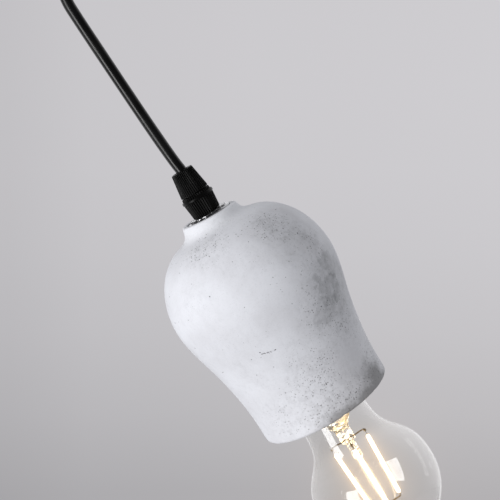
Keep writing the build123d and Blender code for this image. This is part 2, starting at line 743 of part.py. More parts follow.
with BuildPart() as bulb_glass:
    with BuildSketch(Plane.XZ):
        with BuildLine():
            outer = Spline(*glass_line(0), tangents=(GLASS_START, (0, -1)))
            inner = Spline(*glass_line(BULB_GLASS_WALL), tangents=(GLASS_START, (0, -1)))
            RadiusArc(outer @ 1, (0, BULB_BOTTOM), BULB_R)
            RadiusArc(inner @ 1, (0, BULB_BOTTOM + BULB_GLASS_WALL), BULB_R - BULB_GLASS_WALL)
            Line((0, BULB_BOTTOM), (0, BULB_BOTTOM + BULB_GLASS_WALL))
            Polyline(
                outer @ 0,
                (SPIGOT_GLASS_R, GLASS_TOP),
                (SPIGOT_GLASS_R - BULB_GLASS_WALL, GLASS_TOP),
                inner @ 0,
            )
        make_face()
    revolve(axis=Axis.Z)
save(bulb_glass.part, "bulb_glass")

PINCH_TOP = GLASS_TOP - STEM_FLARE_H
PINCH_BOTTOM = PINCH_TOP - PINCH_H
ROD_BOTTOM = PINCH_BOTTOM - ROD_H
STEM_FOOT = SPIGOT_GLASS_R - BULB_GLASS_WALL
with BuildPart() as bulb_stem:
    with BuildSketch(Plane.XZ):
        with BuildLine():
            flare = Spline(
                (STEM_FOOT_R, GLASS_TOP - STEM_WALL),
                (STEM_TUBE_R, GLASS_TOP - STEM_TUBE_H),
                (PINCH_R, PINCH_TOP),
                tangents=((0, -1), (0, -1)),
            )
            Polyline(
                flare @ 0,
                (STEM_FOOT, GLASS_TOP - STEM_WALL),
                (STEM_FOOT, GLASS_TOP),
                (0, GLASS_TOP),
                (0, ROD_BOTTOM),
                (ROD_R, ROD_BOTTOM),
                (ROD_R, PINCH_BOTTOM),
                (PINCH_R, PINCH_BOTTOM),
                flare @ 1,
            )
        make_face()
    revolve(axis=Axis.Z)
    fillet(bulb_stem.edges().filter_by(GeomType.CIRCLE).group_by(Axis.Z)[0], radius=STEM_WALL)
save(bulb_stem.part, "bulb_stem")

FILAMENT_TOP = PINCH_BOTTOM + WIRE_R + FILAMENT_BELOW_LEAD
FILAMENT_BOTTOM = FILAMENT_TOP - FILAMENT_L
LEAN = math.radians(FILAMENT_LEAN)
FILAMENT_FOOT_AT = FILAMENT_TOP_AT - FILAMENT_L * math.tan(LEAN)
WIRE_CLEAR = WIRE_R + FILAMENT_R * math.sin(LEAN)
FILAMENT_TURNS = [360 * number / FILAMENT_COUNT for number in range(FILAMENT_COUNT)]
for number, turn in enumerate(FILAMENT_TURNS, start=1):
    filament_top = Vector(FILAMENT_TOP_AT, 0, FILAMENT_TOP).rotate(Axis.Z, turn)
    filament_foot = Vector(FILAMENT_FOOT_AT, 0, FILAMENT_BOTTOM).rotate(Axis.Z, turn)
    with BuildPart() as filament:
        with BuildSketch(Plane(origin=filament_top, z_dir=filament_foot - filament_top)):
            Circle(FILAMENT_R)
        extrude(amount=(filament_foot - filament_top).length)
    save(filament.part, f"filament_{number}")

with BuildPart() as filament_leads:
    for turn in FILAMENT_TURNS:
        outward = Vector(1, 0, 0).rotate(Axis.Z, turn)
        stem_side = outward * PINCH_R + Vector(0, 0, FILAMENT_TOP + WIRE_CLEAR)
        with BuildSketch(Plane(origin=stem_side, z_dir=outward)):
            Circle(WIRE_R)
        extrude(amount=FILAMENT_TOP_AT - PINCH_R)
save(filament_leads.part, "filament_leads")

with BuildPart() as filament_spider:
    with BuildSketch(level_plane(FILAMENT_BOTTOM - WIRE_CLEAR)):
        Circle(WIRE_R)
    extrude(amount=ROD_BOTTOM - FILAMENT_BOTTOM + WIRE_CLEAR)
    for turn in FILAMENT_TURNS:
        outward = Vector(1, 0, 0).rotate(Axis.Z, turn)
        with BuildSketch(Plane(origin=(0, 0, FILAMENT_BOTTOM - WIRE_CLEAR), z_dir=outward)):
            Circle(WIRE_R)
        extrude(amount=FILAMENT_FOOT_AT)
save(filament_spider.part, "filament_spider")
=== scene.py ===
"""Pendant light: a small cast concrete shade on a straight cord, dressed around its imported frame.

Lengths are in metres in the row frame. The origin is on the ceiling, and +Z is up.
"""

import logging
import math
import random
from collections.abc import Iterable, Sequence
from dataclasses import dataclass, field
from enum import Enum

import bmesh
import bpy
from mathutils import Matrix, Vector, geometry, kdtree, noise


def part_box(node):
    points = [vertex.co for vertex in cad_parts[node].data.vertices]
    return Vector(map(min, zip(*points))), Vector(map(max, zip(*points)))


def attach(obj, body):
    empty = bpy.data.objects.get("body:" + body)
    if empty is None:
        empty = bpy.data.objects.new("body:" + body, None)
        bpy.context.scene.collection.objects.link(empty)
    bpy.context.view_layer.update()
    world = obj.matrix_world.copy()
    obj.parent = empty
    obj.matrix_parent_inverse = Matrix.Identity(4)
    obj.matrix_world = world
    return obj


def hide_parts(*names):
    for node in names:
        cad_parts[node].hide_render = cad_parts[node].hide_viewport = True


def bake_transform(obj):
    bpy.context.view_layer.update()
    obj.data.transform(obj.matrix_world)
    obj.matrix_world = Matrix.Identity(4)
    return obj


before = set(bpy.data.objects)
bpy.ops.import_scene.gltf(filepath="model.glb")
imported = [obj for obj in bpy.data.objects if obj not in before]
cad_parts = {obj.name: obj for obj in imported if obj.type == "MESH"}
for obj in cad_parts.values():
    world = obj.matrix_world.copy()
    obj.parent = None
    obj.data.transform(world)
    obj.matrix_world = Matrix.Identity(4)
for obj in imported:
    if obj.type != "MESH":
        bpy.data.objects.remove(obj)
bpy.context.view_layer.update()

LOG = logging.getLogger("pendant")
MM = 0.001
# Points as near as this are one point; on a turned shape they have to be nearer still
WELD = 1e-6
POLE_WELD = WELD / 10
# Edges that turn more than CORNER are rounded, and facets that turn less than FLAT are one face
CORNER = math.radians(25)
FLAT = math.radians(0.5)
# Angle in degrees past which an edge is shaded sharp
SHARP = 40.0

Outline = list[tuple[float, float]]
Feed = bpy.types.NodeSocket | float | tuple[float, ...]


class Body(Enum):
    """The moving bodies of the light."""

    CEILING = "ceiling"
    CANOPY_NUT = "canopy_grip_nut"
    CORD = "cord"
    LAMP = "lamp"
    LAMP_NUT = "lamp_grip_nut"
    BULB_TIP = "bulb_tip"
    BULB = "bulb"


class Slot(Enum):
    """The record's material slots."""

    CONCRETE = "concrete"
    BLACK_NYLON = "black_nylon"
    BLACK_CORD = "black_cord"
    BLACK_PAINT = "black_paint"
    BLACK_RESIN = "black_resin"
    WHITE_NYLON = "white_nylon"
    WHITE_CERAMIC = "white_ceramic"
    ZINC_STEEL = "zinc_steel"
    BRIGHT_STEEL = "bright_steel"
    NICKEL_CAP = "nickel_cap"
    BRASS = "brass"
    CLEAR_GLASS = "clear_glass"
    WARM_FILAMENT = "warm_filament"


class Pointing(Enum):
    """The way a cord grip points from its seat."""

    DOWN = -1
    UP = 1


class Side(Enum):
    """The side of the canopy, along X, that a screw goes in from."""

    RIGHT = 1
    LEFT = -1


# Mesh work


def held(share: float) -> float:
    """Hold a share between 0 and 1."""
    return min(max(share, 0.0), 1.0)


def eased(share: float) -> float:
    """Ease a share between 0 and 1, so that it sets out and arrives gently."""
    share = held(share)
    return share * share * (3 - 2 * share)


def outward(face: bmesh.types.BMFace) -> float:
    """Tell how squarely a face looks away from the Z axis, from -1 to 1."""
    return face.normal.dot(face.calc_center_median().xy.to_3d().normalized())


def verts_in(geom: Iterable[object]) -> list[bmesh.types.BMVert]:
    """Pick the vertices out of an operator's result."""
    return [g for g in geom if isinstance(g, bmesh.types.BMVert)]


def seam_outline(node: str) -> Outline:
    """Read the outline of a turned CAD piece along its seam.

    Args:
        node: Name of the CAD node.

    Returns:
        Radius and height of each point, in order along the outline.
    """
    bm = bmesh.new()
    bm.from_mesh(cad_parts[node].data)
    bmesh.ops.remove_doubles(bm, verts=bm.verts[:], dist=WELD)
    seam = [v for v in bm.verts if abs(v.co.y) < WELD and v.co.x > -WELD]
    known = set(seam)
    links = {v: [e.other_vert(v) for e in v.link_edges if e.other_vert(v) in known] for v in seam}
    ends = [v for v in seam if len(links[v]) == 1]
    for end in ends:
        links[end] += [v for v in ends if v is not end and abs(v.co.z - end.co.z) < WELD]
    start = next((v for v in seam if len(links[v]) == 1), seam[0])
    walk = [start]
    while True:
        ahead = [v for v in links[walk[-1]] if len(walk) < 2 or v is not walk[-2]]
        if not ahead or ahead[0] is start:
            break
        walk.append(ahead[0])
    outline = [(v.co.x, v.co.z) for v in walk]
    bm.free()
    return outline


def heading(before: Vector, here: Vector, after: Vector, run: Vector) -> Vector:
    """Find an outline's direction at a point, or the run's own at a corner.

    Args:
        before: The point before it.
        here: The point.
        after: The point after it.
        run: The run that starts or ends there.

    Returns:
        The direction, with a length of 1.
    """
    arrive, leave = here - before, after - here
    if arrive.angle(leave) > CORNER:
        return run.normalized()
    return (arrive.normalized() * leave.length + leave.normalized() * arrive.length).normalized()


def refine(outline: Outline, step: float, closed: bool) -> Outline:
    """Divide an outline's long runs into short ones that follow its bend and keep its corners.

    Args:
        outline: Radius and height of each point.
        step: The longest run that is left.
        closed: Whether the last point joins the first.

    Returns:
        The finer outline.
    """
    points = [Vector((radius, 0.0, height)) for radius, height in outline]
    if closed:
        points = [points[-1], *points, points[0], points[1]]
    else:
        points = [2 * points[0] - points[1], *points, 2 * points[-1] - points[-2]]
    fine: list[Vector] = []
    for before, here, there, after in zip(points, points[1:], points[2:], points[3:]):
        run = there - here
        start = heading(before, here, there, run)
        end = heading(here, there, after, run)
        cuts = max(1, math.ceil(run.length / step))
        reach = run.length / 3
        bend = geometry.interpolate_bezier(
            here, here + start * reach, there - end * reach, there, cuts + 1
        )
        fine += bend[:-1]
    if not closed:
        fine.append(points[-2])
    return [(point.x, point.z) for point in fine]


def lathe(outline: Outline, steps: int, closed: bool) -> bmesh.types.BMesh:
    """Turn an outline about the Z axis.

    Args:
        outline: Radius and height of each point.
        steps: Number of steps round.
        closed: Whether the last point joins the first.

    Returns:
        The turned shape, closed at its seam and poles.
    """
    bm = bmesh.new()
    points = [bm.verts.new((radius, 0.0, height)) for radius, height in outline]
    ahead = points[1:] + points[:1] if closed else points[1:]
    edges = [bm.edges.new(pair) for pair in zip(points, ahead)]
    bmesh.ops.spin(
        bm,
        geom=points + edges,
        cent=(0, 0, 0),
        axis=(0, 0, 1),
        dvec=(0, 0, 0),
        angle=math.tau,
        steps=steps,
        use_merge=True,
        use_duplicate=False,
    )
    bmesh.ops.remove_doubles(bm, verts=bm.verts[:], dist=POLE_WELD)
    bmesh.ops.recalc_face_normals(bm, faces=bm.faces[:])
    return bm


def round_edges(
    bm: bmesh.types.BMesh, edges: list[bmesh.types.BMEdge], width: float, segments: int, clamp: bool
) -> None:
    """Round some edges of a shape.

    Args:
        bm: The shape.
        edges: The edges.
        width: Width of the rounding.
        segments: Number of faces across it.
        clamp: Whether it narrows where two roundings would meet.
    """
    bmesh.ops.bevel(
        bm,
        geom=edges,
        offset=width,
        offset_type="OFFSET",
        segments=segments,
        profile=0.5,
        affect="EDGES",
        clamp_overlap=clamp,
        material=-1,
    )


def soften(bm: bmesh.types.BMesh, width: float, segments: int = 2, corner: float = CORNER) -> None:
    """Round every edge of a shape that turns more than a corner's angle."""
    edges = [e for e in bm.edges if e.is_manifold and e.calc_face_angle(0.0) > corner]
    round_edges(bm, edges, width, segments, clamp=True)


def grow_ring(
    bm: bmesh.types.BMesh, edges: list[bmesh.types.BMEdge]
) -> tuple[list[bmesh.types.BMVert], list[bmesh.types.BMEdge]]:
    """Extrude a ring of edges in place.

    Args:
        bm: The shape.
        edges: The ring that is extruded.

    Returns:
        The new ring's vertices and edges.
    """
    grown = bmesh.ops.extrude_edge_only(bm, edges=edges)["geom"]
    verts = verts_in(grown)
    fresh = set(verts)
    ring = [g for g in grown if isinstance(g, bmesh.types.BMEdge) and fresh.issuperset(g.verts)]
    return verts, ring


def pull_faces(bm: bmesh.types.BMesh, faces: list[bmesh.types.BMFace]) -> list[bmesh.types.BMVert]:
    """Extrude faces in place, without the ones that they started from.

    Args:
        bm: The shape.
        faces: The faces that are extruded.

    Returns:
        The new faces' vertices.
    """
    pulled = verts_in(bmesh.ops.extrude_face_region(bm, geom=faces)["geom"])
    bmesh.ops.delete(bm, geom=[f for f in faces if f.is_valid], context="FACES_ONLY")
    return pulled


def sweep(
    bm: bmesh.types.BMesh,
    path: Sequence[Vector],
    radius: float,
    segments: int,
    level_start: bool = False,
) -> None:
    """Draw a round wire along a path, capped at both ends.

    Args:
        bm: The shape that the wire is added to.
        path: Points along the wire's middle.
        radius: Radius of the wire.
        segments: Number of sides.
        level_start: Whether the wire's start is cut level instead of square.
    """
    runs = [(b - a).normalized() for a, b in zip(path, path[1:])]
    heads = [runs[0], *((a + b).normalized() for a, b in zip(runs, runs[1:])), runs[-1]]
    place = Matrix.Translation(path[0]) @ heads[0].to_track_quat("Z", "Y").to_matrix().to_4x4()
    start = bmesh.ops.create_circle(bm, cap_ends=True, segments=segments, radius=radius, matrix=place)
    edges = list(dict.fromkeys(e for v in start["verts"] for e in v.link_edges))
    for back, here, old, new in zip(path, path[1:], heads, heads[1:]):
        verts, edges = grow_ring(bm, edges)
        bmesh.ops.translate(bm, verts=verts, vec=here - back)
        bmesh.ops.rotate(bm, verts=verts, cent=here, matrix=old.rotation_difference(new).to_matrix())
    bmesh.ops.edgeloop_fill(bm, edges=edges)
    if level_start:
        for v in start["verts"]:
            v.co -= heads[0] * ((v.co.z - path[0].z) / heads[0].z)
    bmesh.ops.recalc_face_normals(bm, faces=bm.faces[:])


@dataclass(frozen=True)
class Thread:
    """A rolled thread on a thin round wall, whose radius is that of the thread's crests."""

    radius: float
    depth: float
    pitch: float
    wall: float
    steps: int
    samples: int = 6

    def roll(self, low: float, high: float) -> bmesh.types.BMesh:
        """Roll a wall that is threaded along its whole height.

        Args:
            low: Height of the lower end.
            high: Height of the upper end.

        Returns:
            The wall, cut level at both ends.
        """
        bm = bmesh.new()
        points = []
        for k in range(self.samples + 1):
            radius = self.radius - self.depth * (0.5 - 0.5 * math.cos(math.tau * k / self.samples))
            points.append(bm.verts.new((radius, 0.0, low - self.pitch + self.pitch * k / self.samples)))
        edges = [bm.edges.new(pair) for pair in zip(points, points[1:])]
        bmesh.ops.spin(
            bm,
            geom=points + edges,
            cent=(0, 0, 0),
            axis=(0, 0, 1),
            dvec=(0, 0, self.pitch / self.steps),
            angle=math.tau,
            steps=self.steps,
            use_merge=False,
            use_duplicate=False,
        )
        one_turn = bm.verts[:] + bm.edges[:] + bm.faces[:]
        for number in range(1, math.ceil((high - low) / self.pitch) + 2):
            copied = bmesh.ops.duplicate(bm, geom=one_turn)["geom"]
            bmesh.ops.translate(bm, verts=verts_in(copied), vec=(0, 0, number * self.pitch))
        bmesh.ops.remove_doubles(bm, verts=bm.verts[:], dist=WELD)
        for height, facing in ((low, 1), (high, -1)):
            bmesh.ops.bisect_plane(
                bm,
                geom=bm.verts[:] + bm.edges[:] + bm.faces[:],
                dist=WELD,
                plane_co=(0, 0, height),
                plane_no=(0, 0, facing),
                clear_inner=True,
            )
        bmesh.ops.recalc_face_normals(bm, faces=bm.faces[:])
        if outward(bm.faces[0]) < 0:
            bmesh.ops.reverse_faces(bm, faces=bm.faces[:])
        bmesh.ops.solidify(bm, geom=bm.faces[:], thickness=self.wall)
        bmesh.ops.recalc_face_normals(bm, faces=bm.faces[:])
        return bm


TUBE_THREAD = Thread(4.9 * MM, 0.4 * MM, 1.0 * MM, 0.85 * MM, 36)


def reworked(node: str, width: float) -> bmesh.types.BMesh:
    """Copy a flat-sided CAD piece with its facets joined and its edges rounded.

    Args:
        node: Name of the CAD node.
        width: Width of the rounding.

    Returns:
        The copy.
    """
    bm = bmesh.new()
    bm.from_mesh(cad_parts[node].data)
    bmesh.ops.remove_doubles(bm, verts=bm.verts[:], dist=WELD)
    bmesh.ops.dissolve_limit(
        bm,
        angle_limit=FLAT,
        verts=bm.verts[:],
        edges=bm.edges[:],
        use_dissolve_boundaries=False,
    )
    soften(bm, width, segments=2)
    return bm


def make_object(
    name: str, bm: bmesh.types.BMesh, materials: Sequence[bpy.types.Material], sharp: float = SHARP
) -> bpy.types.Object:
    """Turn a finished shape into an object of the scene.

    Args:
        name: Name of the object.
        bm: Its shape, which is used up.
        materials: Its materials, in the order of its faces' indices.
        sharp: Angle in degrees past which an edge is left sharp.

    Returns:
        The object.
    """
    mesh = bpy.data.meshes.new(name)
    bm.to_mesh(mesh)
    bm.free()
    mesh.shade_smooth()
    mesh.set_sharp_from_angle(angle=math.radians(sharp))
    for material in materials:
        mesh.materials.append(material)
    made = bpy.data.objects.new(name, mesh)
    bpy.context.scene.collection.objects.link(made)
    return made


def place_piece(
    name: str,
    bm: bmesh.types.BMesh,
    body: Body,
    materials: Sequence[bpy.types.Material],
    replaced: str,
    sharp: float = SHARP,
) -> None:
    """Turn a finished shape into a piece of the light.

    Args:
        name: Name of the piece.
        bm: Its shape, which is used up.
        body: The body it moves with.
        materials: Its materials, in the order of its faces' indices.
        replaced: The CAD node that it stands for.
        sharp: Angle in degrees past which an edge is left sharp.
    """
    piece = make_object(name, bm, materials, sharp)
    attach(piece, body.value)
    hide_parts(replaced)
    LOG.info("%s: %d faces on %s", name, len(piece.data.polygons), body.value)


def finish_node(node: str, width: float, body: Body, material: bpy.types.Material) -> None:
    """Put a copy with rounded edges in the place of a flat-sided CAD piece."""
    place_piece(f"{node}_finished", reworked(node, width), body, [material], node)


def dress_node(node: str, material: bpy.types.Material) -> None:
    """Give a CAD node that stays in view its finish.

    Args:
        node: Name of the CAD node.
        material: Its finish.
    """
    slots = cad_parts[node].data.materials
    slots.clear()
    slots.append(material)
    LOG.info("%s: %s", node, material.name)


# Shader work


class NodeBench:
    """Places nodes in one shader tree and joins them."""

    def __init__(self, tree: bpy.types.NodeTree) -> None:
        """Start on an emptied tree."""
        self.tree = tree
        tree.nodes.clear()

    def add(
        self, kind: str, feeds: dict[str | int, Feed] | None = None, **settings: object
    ) -> bpy.types.Node:
        """Place a node.

        Args:
            kind: Its type, without the leading ShaderNode.
            feeds: A value or another node's output for each named input.
            settings: Its own properties.

        Returns:
            The node.
        """
        node = self.tree.nodes.new("ShaderNode" + kind)
        for key, value in settings.items():
            setattr(node, key, value)
        for key, value in (feeds or {}).items():
            if isinstance(value, bpy.types.NodeSocket):
                self.tree.links.new(value, node.inputs[key])
            else:
                node.inputs[key].default_value = value
        return node

    def math(self, operation: str, *values: Feed) -> bpy.types.NodeSocket:
        """Combine values by one operation."""
        return self.add("Math", dict(enumerate(values)), operation=operation).outputs[0]

    def vector(self, operation: str, first: Feed, second: Feed) -> bpy.types.Node:
        """Combine two vectors by one operation."""
        return self.add("VectorMath", {0: first, 1: second}, operation=operation)

    def noise(
        self, place: Feed, scale: Feed, detail: float, rough: float = 0.55
    ) -> bpy.types.NodeSocket:
        """Draw cloudy noise at a place."""
        feeds = {"Vector": place, "Scale": scale, "Detail": detail, "Roughness": rough}
        return self.add("TexNoise", feeds).outputs[0]

    def span(
        self, value: Feed, low: Feed, high: Feed, start: float = 0.0, end: float = 1.0
    ) -> bpy.types.NodeSocket:
        """Map a value smoothly from one span to another, held at both ends."""
        feeds = {"Value": value, "From Min": low, "From Max": high, "To Min": start, "To Max": end}
        return self.add("MapRange", feeds, interpolation_type="SMOOTHSTEP").outputs[0]

    def mix(self, share: Feed, first: Feed, second: Feed, blend: str = "MIX") -> bpy.types.NodeSocket:
        """Mix two colours by a share of the second."""
        feeds = {0: share, 6: first, 7: second}
        return self.add("Mix", feeds, data_type="RGBA", blend_type=blend).outputs[2]

    def bump(self, height: Feed, depth: float, strength: float = 1.0) -> bpy.types.NodeSocket:
        """Turn a height between 0 and 1 into a surface normal."""
        return self.add("Bump", {"Height": height, "Distance": depth, "Strength": strength}).outputs[0]

    def radius(self, place: Feed) -> bpy.types.NodeSocket:
        """Measure a place's distance from the Z axis."""
        level = self.vector("MULTIPLY", place, (1.0, 1.0, 0.0)).outputs[0]
        return self.add("VectorMath", {0: level}, operation="LENGTH").outputs["Value"]

    def cells(self, place: Feed, scale: float) -> tuple[bpy.types.NodeSocket, bpy.types.NodeSocket]:
        """Divide space into cells of random shape.

        Args:
            place: The place that is looked at.
            scale: Number of cells in a metre.

        Returns:
            The distance to the cell's middle, in cells, and the cell's own random number.
        """
        cell = self.add("TexVoronoi", {"Vector": place, "Scale": scale})
        drawn = self.add("SeparateColor", {0: cell.outputs["Color"]})
        return cell.outputs["Distance"], drawn.outputs[0]


class Paintwork(NodeBench):
    """The node tree of one material."""

    def __init__(self, name: str) -> None:
        """Start a material that reads the piece's own coordinates.

        Args:
            name: Name of the material.
        """
        self.material = bpy.data.materials.new(name)
        self.material.use_nodes = True
        super().__init__(self.material.node_tree)
        self.place = self.add("TexCoord").outputs["Object"]

    def effect(self, group: bpy.types.NodeTree, scale: float) -> bpy.types.Node:
        """Place a shared effect at this material's scale."""
        return self.add("Group", {"Vector": self.place, "Scale": scale}, node_tree=group)

    def finish(self, feeds: dict[str, Feed]) -> bpy.types.Material:
        """Join a surface shader with these values.

        Args:
            feeds: A value or another node's output for each named input of the shader.

        Returns:
            The finished material.
        """
        surface = self.add("BsdfPrincipled", feeds)
        self.add("OutputMaterial", {"Surface": surface.outputs[0]})
        return self.material


class Effects:
    """Shader node groups that several finishes share, each built once."""

    patch_per_grain: float = 14.0
    streak_turn: tuple[float, ...] = (0.5, 0.3, 0.9)
    streak_shape: tuple[float, ...] = (1.0, 0.07, 1.0)
    cover_per_streak: float = 20.0

    def __init__(self) -> None:
        """Build the groups."""
        self.grain = self._grain()
        self.turning = self._turning()
        self.rubbing = self._rubbing()

    @staticmethod
    def _group(name: str, outputs: Sequence[str]) -> tuple[NodeBench, bpy.types.Node, bpy.types.Node]:
        """Start a group with a place, a scale and some outputs.

        Args:
            name: Name of the group.
            outputs: Names of its outputs.

        Returns:
            Its bench, its input node and its output node.
        """
        tree = bpy.data.node_groups.new(name, "ShaderNodeTree")
        tree.interface.new_socket("Vector", in_out="INPUT", socket_type="NodeSocketVector")
        tree.interface.new_socket("Scale", in_out="INPUT", socket_type="NodeSocketFloat")
        for output in outputs:
            tree.interface.new_socket(output, in_out="OUTPUT", socket_type="NodeSocketFloat")
        bench = NodeBench(tree)
        return bench, tree.nodes.new("NodeGroupInput"), tree.nodes.new("NodeGroupOutput")

    def _grain(self) -> bpy.types.NodeTree:
        """Build fine grain with a broad patchiness.

        Returns:
            The group.
        """
        bench, given, made = self._group("fine_grain", ("Height", "Patch"))
        place, scale = given.outputs["Vector"], given.outputs["Scale"]
        fine = bench.noise(place, scale, 5.0, 0.6)
        broad = bench.noise(place, bench.math("DIVIDE", scale, self.patch_per_grain), 3.0, 0.5)
        bench.tree.links.new(fine, made.inputs["Height"])
        bench.tree.links.new(bench.span(broad, 0.3, 0.7), made.inputs["Patch"])
        return bench.tree

    def _turning(self) -> bpy.types.NodeTree:
        """Build the fine rings that a lathe or a press leaves round the axis.

        Returns:
            The group.
        """
        bench, given, made = self._group("turned_rings", ("Height", "Patch"))
        radius = bench.radius(given.outputs["Vector"])
        feeds = {"W": radius, "Scale": given.outputs["Scale"], "Detail": 3.0}
        rings = bench.add("TexNoise", feeds, noise_dimensions="1D").outputs[0]
        bench.tree.links.new(rings, made.inputs["Height"])
        bench.tree.links.new(bench.span(rings, 0.42, 0.58), made.inputs["Patch"])
        return bench.tree

    def _rubbing(self) -> bpy.types.NodeTree:
        """Build short rub marks that run across the piece.

        Returns:
            The group.
        """
        bench, given, made = self._group("rub_marks", ("Mask",))
        place, scale = given.outputs["Vector"], given.outputs["Scale"]
        feeds = {"Vector": place, "Rotation": self.streak_turn, "Scale": self.streak_shape}
        turned = bench.add("Mapping", feeds).outputs[0]
        streak = bench.noise(turned, scale, 3.0, 0.6)
        cover = bench.noise(place, bench.math("DIVIDE", scale, self.cover_per_streak), 2.0, 0.5)
        mask = bench.math("MULTIPLY", bench.span(streak, 0.56, 0.72), bench.span(cover, 0.4, 0.65))
        bench.tree.links.new(mask, made.inputs["Mask"])
        return bench.tree


@dataclass(frozen=True)
class Patch:
    """A round patch that is full in its middle part and fades out from there to its reach."""

    middle: tuple[float, ...]
    reach: float
    share: float
    full: float = 0.25


@dataclass(frozen=True)
class Scratch:
    """A fine straight scratch."""

    start: tuple[float, ...]
    end: tuple[float, ...]
    width: float
    share: float


@dataclass(frozen=True)
class ConcreteFinish:
    """Pale cast concrete with cloudy patches, crowds of pinholes and a few stain patches, paler towards
    the collar; the holes and scratches are painted darker as the shade inside them, and the rim at the
    front right partly carries painted shade.
    """

    name: str = "cast_concrete"
    pale: tuple[float, ...] = (0.655, 0.665, 0.705, 1.0)
    grey: tuple[float, ...] = (0.595, 0.600, 0.635, 1.0)
    # Paler colour that the concrete turns towards near the collar
    fresh: tuple[float, ...] = (0.80, 0.81, 0.84, 1.0)
    # Deep grey for streaks, mottle, specks and stain patches, and for the painted shade along the rim
    damp_and_shade: tuple[float, ...] = (0.252, 0.258, 0.272, 1.0)
    # Painted shade inside the shader's pinholes and scratches
    hole_shade: tuple[float, ...] = (0.10, 0.10, 0.105, 1.0)
    pale_top_from: float = -186.0 * MM
    pale_top_to: float = -175.0 * MM
    cloud_scale: float = 46.0
    drift_scale: float = 60.0
    ragged_scale: float = 85.0
    wisp_scale: float = 190.0
    skip_scale: float = 600.0
    mottle_scale: float = 620.0
    sand_scale: float = 1500.0
    ragged_by: float = 4.5 * MM
    stain_shade_most: float = 0.9
    fine_holes: tuple[float, float, float] = (1150.0, 0.40, 0.36)
    wide_holes: tuple[float, float, float] = (420.0, 0.86, 0.12)
    hole_shade_share: float = 0.7
    sand_relief: float = 0.35
    hole_depth: float = 0.10 * MM
    scratches: tuple[Scratch, ...] = (
        Scratch(
            (-11.64 * MM, -34.79 * MM, -233.1 * MM),
            (-4.11 * MM, -36.10 * MM, -234.5 * MM),
            0.36 * MM,
            1.0,
        ),
        Scratch(
            (17.0 * MM, -36.5 * MM, -215.4 * MM),
            (19.8 * MM, -33.6 * MM, -223.6 * MM),
            0.60 * MM,
            0.40,
        ),
    )
    # Stain patches. The first four, along the rim at the front right, are partly a real stain and partly
    # painted shade on the side away from the left softbox.
    stains_and_rim_shade: tuple[Patch, ...] = (
        Patch((3.0 * MM, -31.5 * MM, -283.0 * MM), 20.0 * MM, 0.62),
        Patch((13.4 * MM, -28.6 * MM, -284.0 * MM), 21.0 * MM, 0.78),
        Patch((22.8 * MM, -21.9 * MM, -284.0 * MM), 22.0 * MM, 1.00),
        Patch((29.4 * MM, -11.5 * MM, -285.0 * MM), 20.0 * MM, 0.50),
        Patch((31.2 * MM, -20.4 * MM, -228.0 * MM), 25.0 * MM, 0.32),
        Patch((33.0 * MM, -22.5 * MM, -217.5 * MM), 6.5 * MM, 0.17, 0.85),
        Patch((27.5 * MM, -27.2 * MM, -225.0 * MM), 8.5 * MM, 0.20, 0.88),
        Patch((21.5 * MM, -30.2 * MM, -232.5 * MM), 8.5 * MM, 0.16, 0.86),
        Patch((25.5 * MM, -25.5 * MM, -195.0 * MM), 20.0 * MM, 0.20),
        Patch((-20.0 * MM, 26.0 * MM, -262.0 * MM), 30.0 * MM, 0.45),
        Patch((14.0 * MM, 36.0 * MM, -222.0 * MM), 26.0 * MM, 0.30),
    )
    crowds: tuple[Patch, ...] = (
        Patch((-8.2 * MM, -22.6 * MM, -183.5 * MM), 15.0 * MM, 0.9),
        Patch((19.3 * MM, -23.0 * MM, -190.0 * MM), 15.0 * MM, 0.9),
        Patch((24.0 * MM, -28.0 * MM, -236.0 * MM), 24.0 * MM, 0.75),
        Patch((29.0 * MM, -27.0 * MM, -206.0 * MM), 20.0 * MM, 0.55),
        Patch((-15.0 * MM, -28.5 * MM, -266.0 * MM), 17.0 * MM, 0.50),
        Patch((2.0 * MM, -33.0 * MM, -254.0 * MM), 18.0 * MM, 0.6),
        Patch((6.0 * MM, -31.5 * MM, -273.0 * MM), 20.0 * MM, 0.9),
        Patch((28.0 * MM, -15.0 * MM, -270.0 * MM), 16.0 * MM, 0.8),
        Patch((-28.0 * MM, 20.0 * MM, -250.0 * MM), 26.0 * MM, 0.8),
        Patch((10.0 * MM, 36.0 * MM, -200.0 * MM), 24.0 * MM, 0.8),
    )

    def gathered(
        self, paint: Paintwork, patches: Sequence[Patch], wander: Feed
    ) -> bpy.types.NodeSocket:
        """Add up patches that fade out at their edge.

        Args:
            paint: The material's node tree.
            patches: The patches.
            wander: How far a patch's edge wanders, in metres.

        Returns:
            Their strength at a place.
        """
        total: Feed = 0.0
        for patch in patches:
            away = paint.vector("DISTANCE", paint.place, patch.middle).outputs["Value"]
            away = paint.math("ADD", away, wander)
            share = paint.span(away, patch.full * patch.reach, patch.reach, patch.share, 0.0)
            total = paint.math("ADD", total, share)
        return total

    def scratched(self, paint: Paintwork) -> bpy.types.NodeSocket:
        """Draw the scratches, which skip here and there.

        Args:
            paint: The material's node tree.

        Returns:
            A scratch's share in it and 0 elsewhere.
        """
        skips = paint.noise(paint.place, self.skip_scale, 2.0)
        total: Feed = 0.0
        for scratch in self.scratches:
            run = Vector(scratch.end) - Vector(scratch.start)
            beyond = paint.vector("SUBTRACT", paint.place, scratch.start).outputs[0]
            along = paint.vector("DOT_PRODUCT", beyond, tuple(run / run.length_squared)).outputs["Value"]
            along = paint.math("MINIMUM", paint.math("MAXIMUM", along, 0.0), 1.0)
            foot = paint.add("VectorMath", {0: tuple(run), "Scale": along}, operation="SCALE").outputs[0]
            aside = paint.vector("DISTANCE", beyond, foot).outputs["Value"]
            inside = paint.math("LESS_THAN", aside, paint.span(skips, 0.40, 0.60, 0.0, scratch.width))
            total = paint.math("MAXIMUM", total, paint.math("MULTIPLY", inside, scratch.share))
        return total

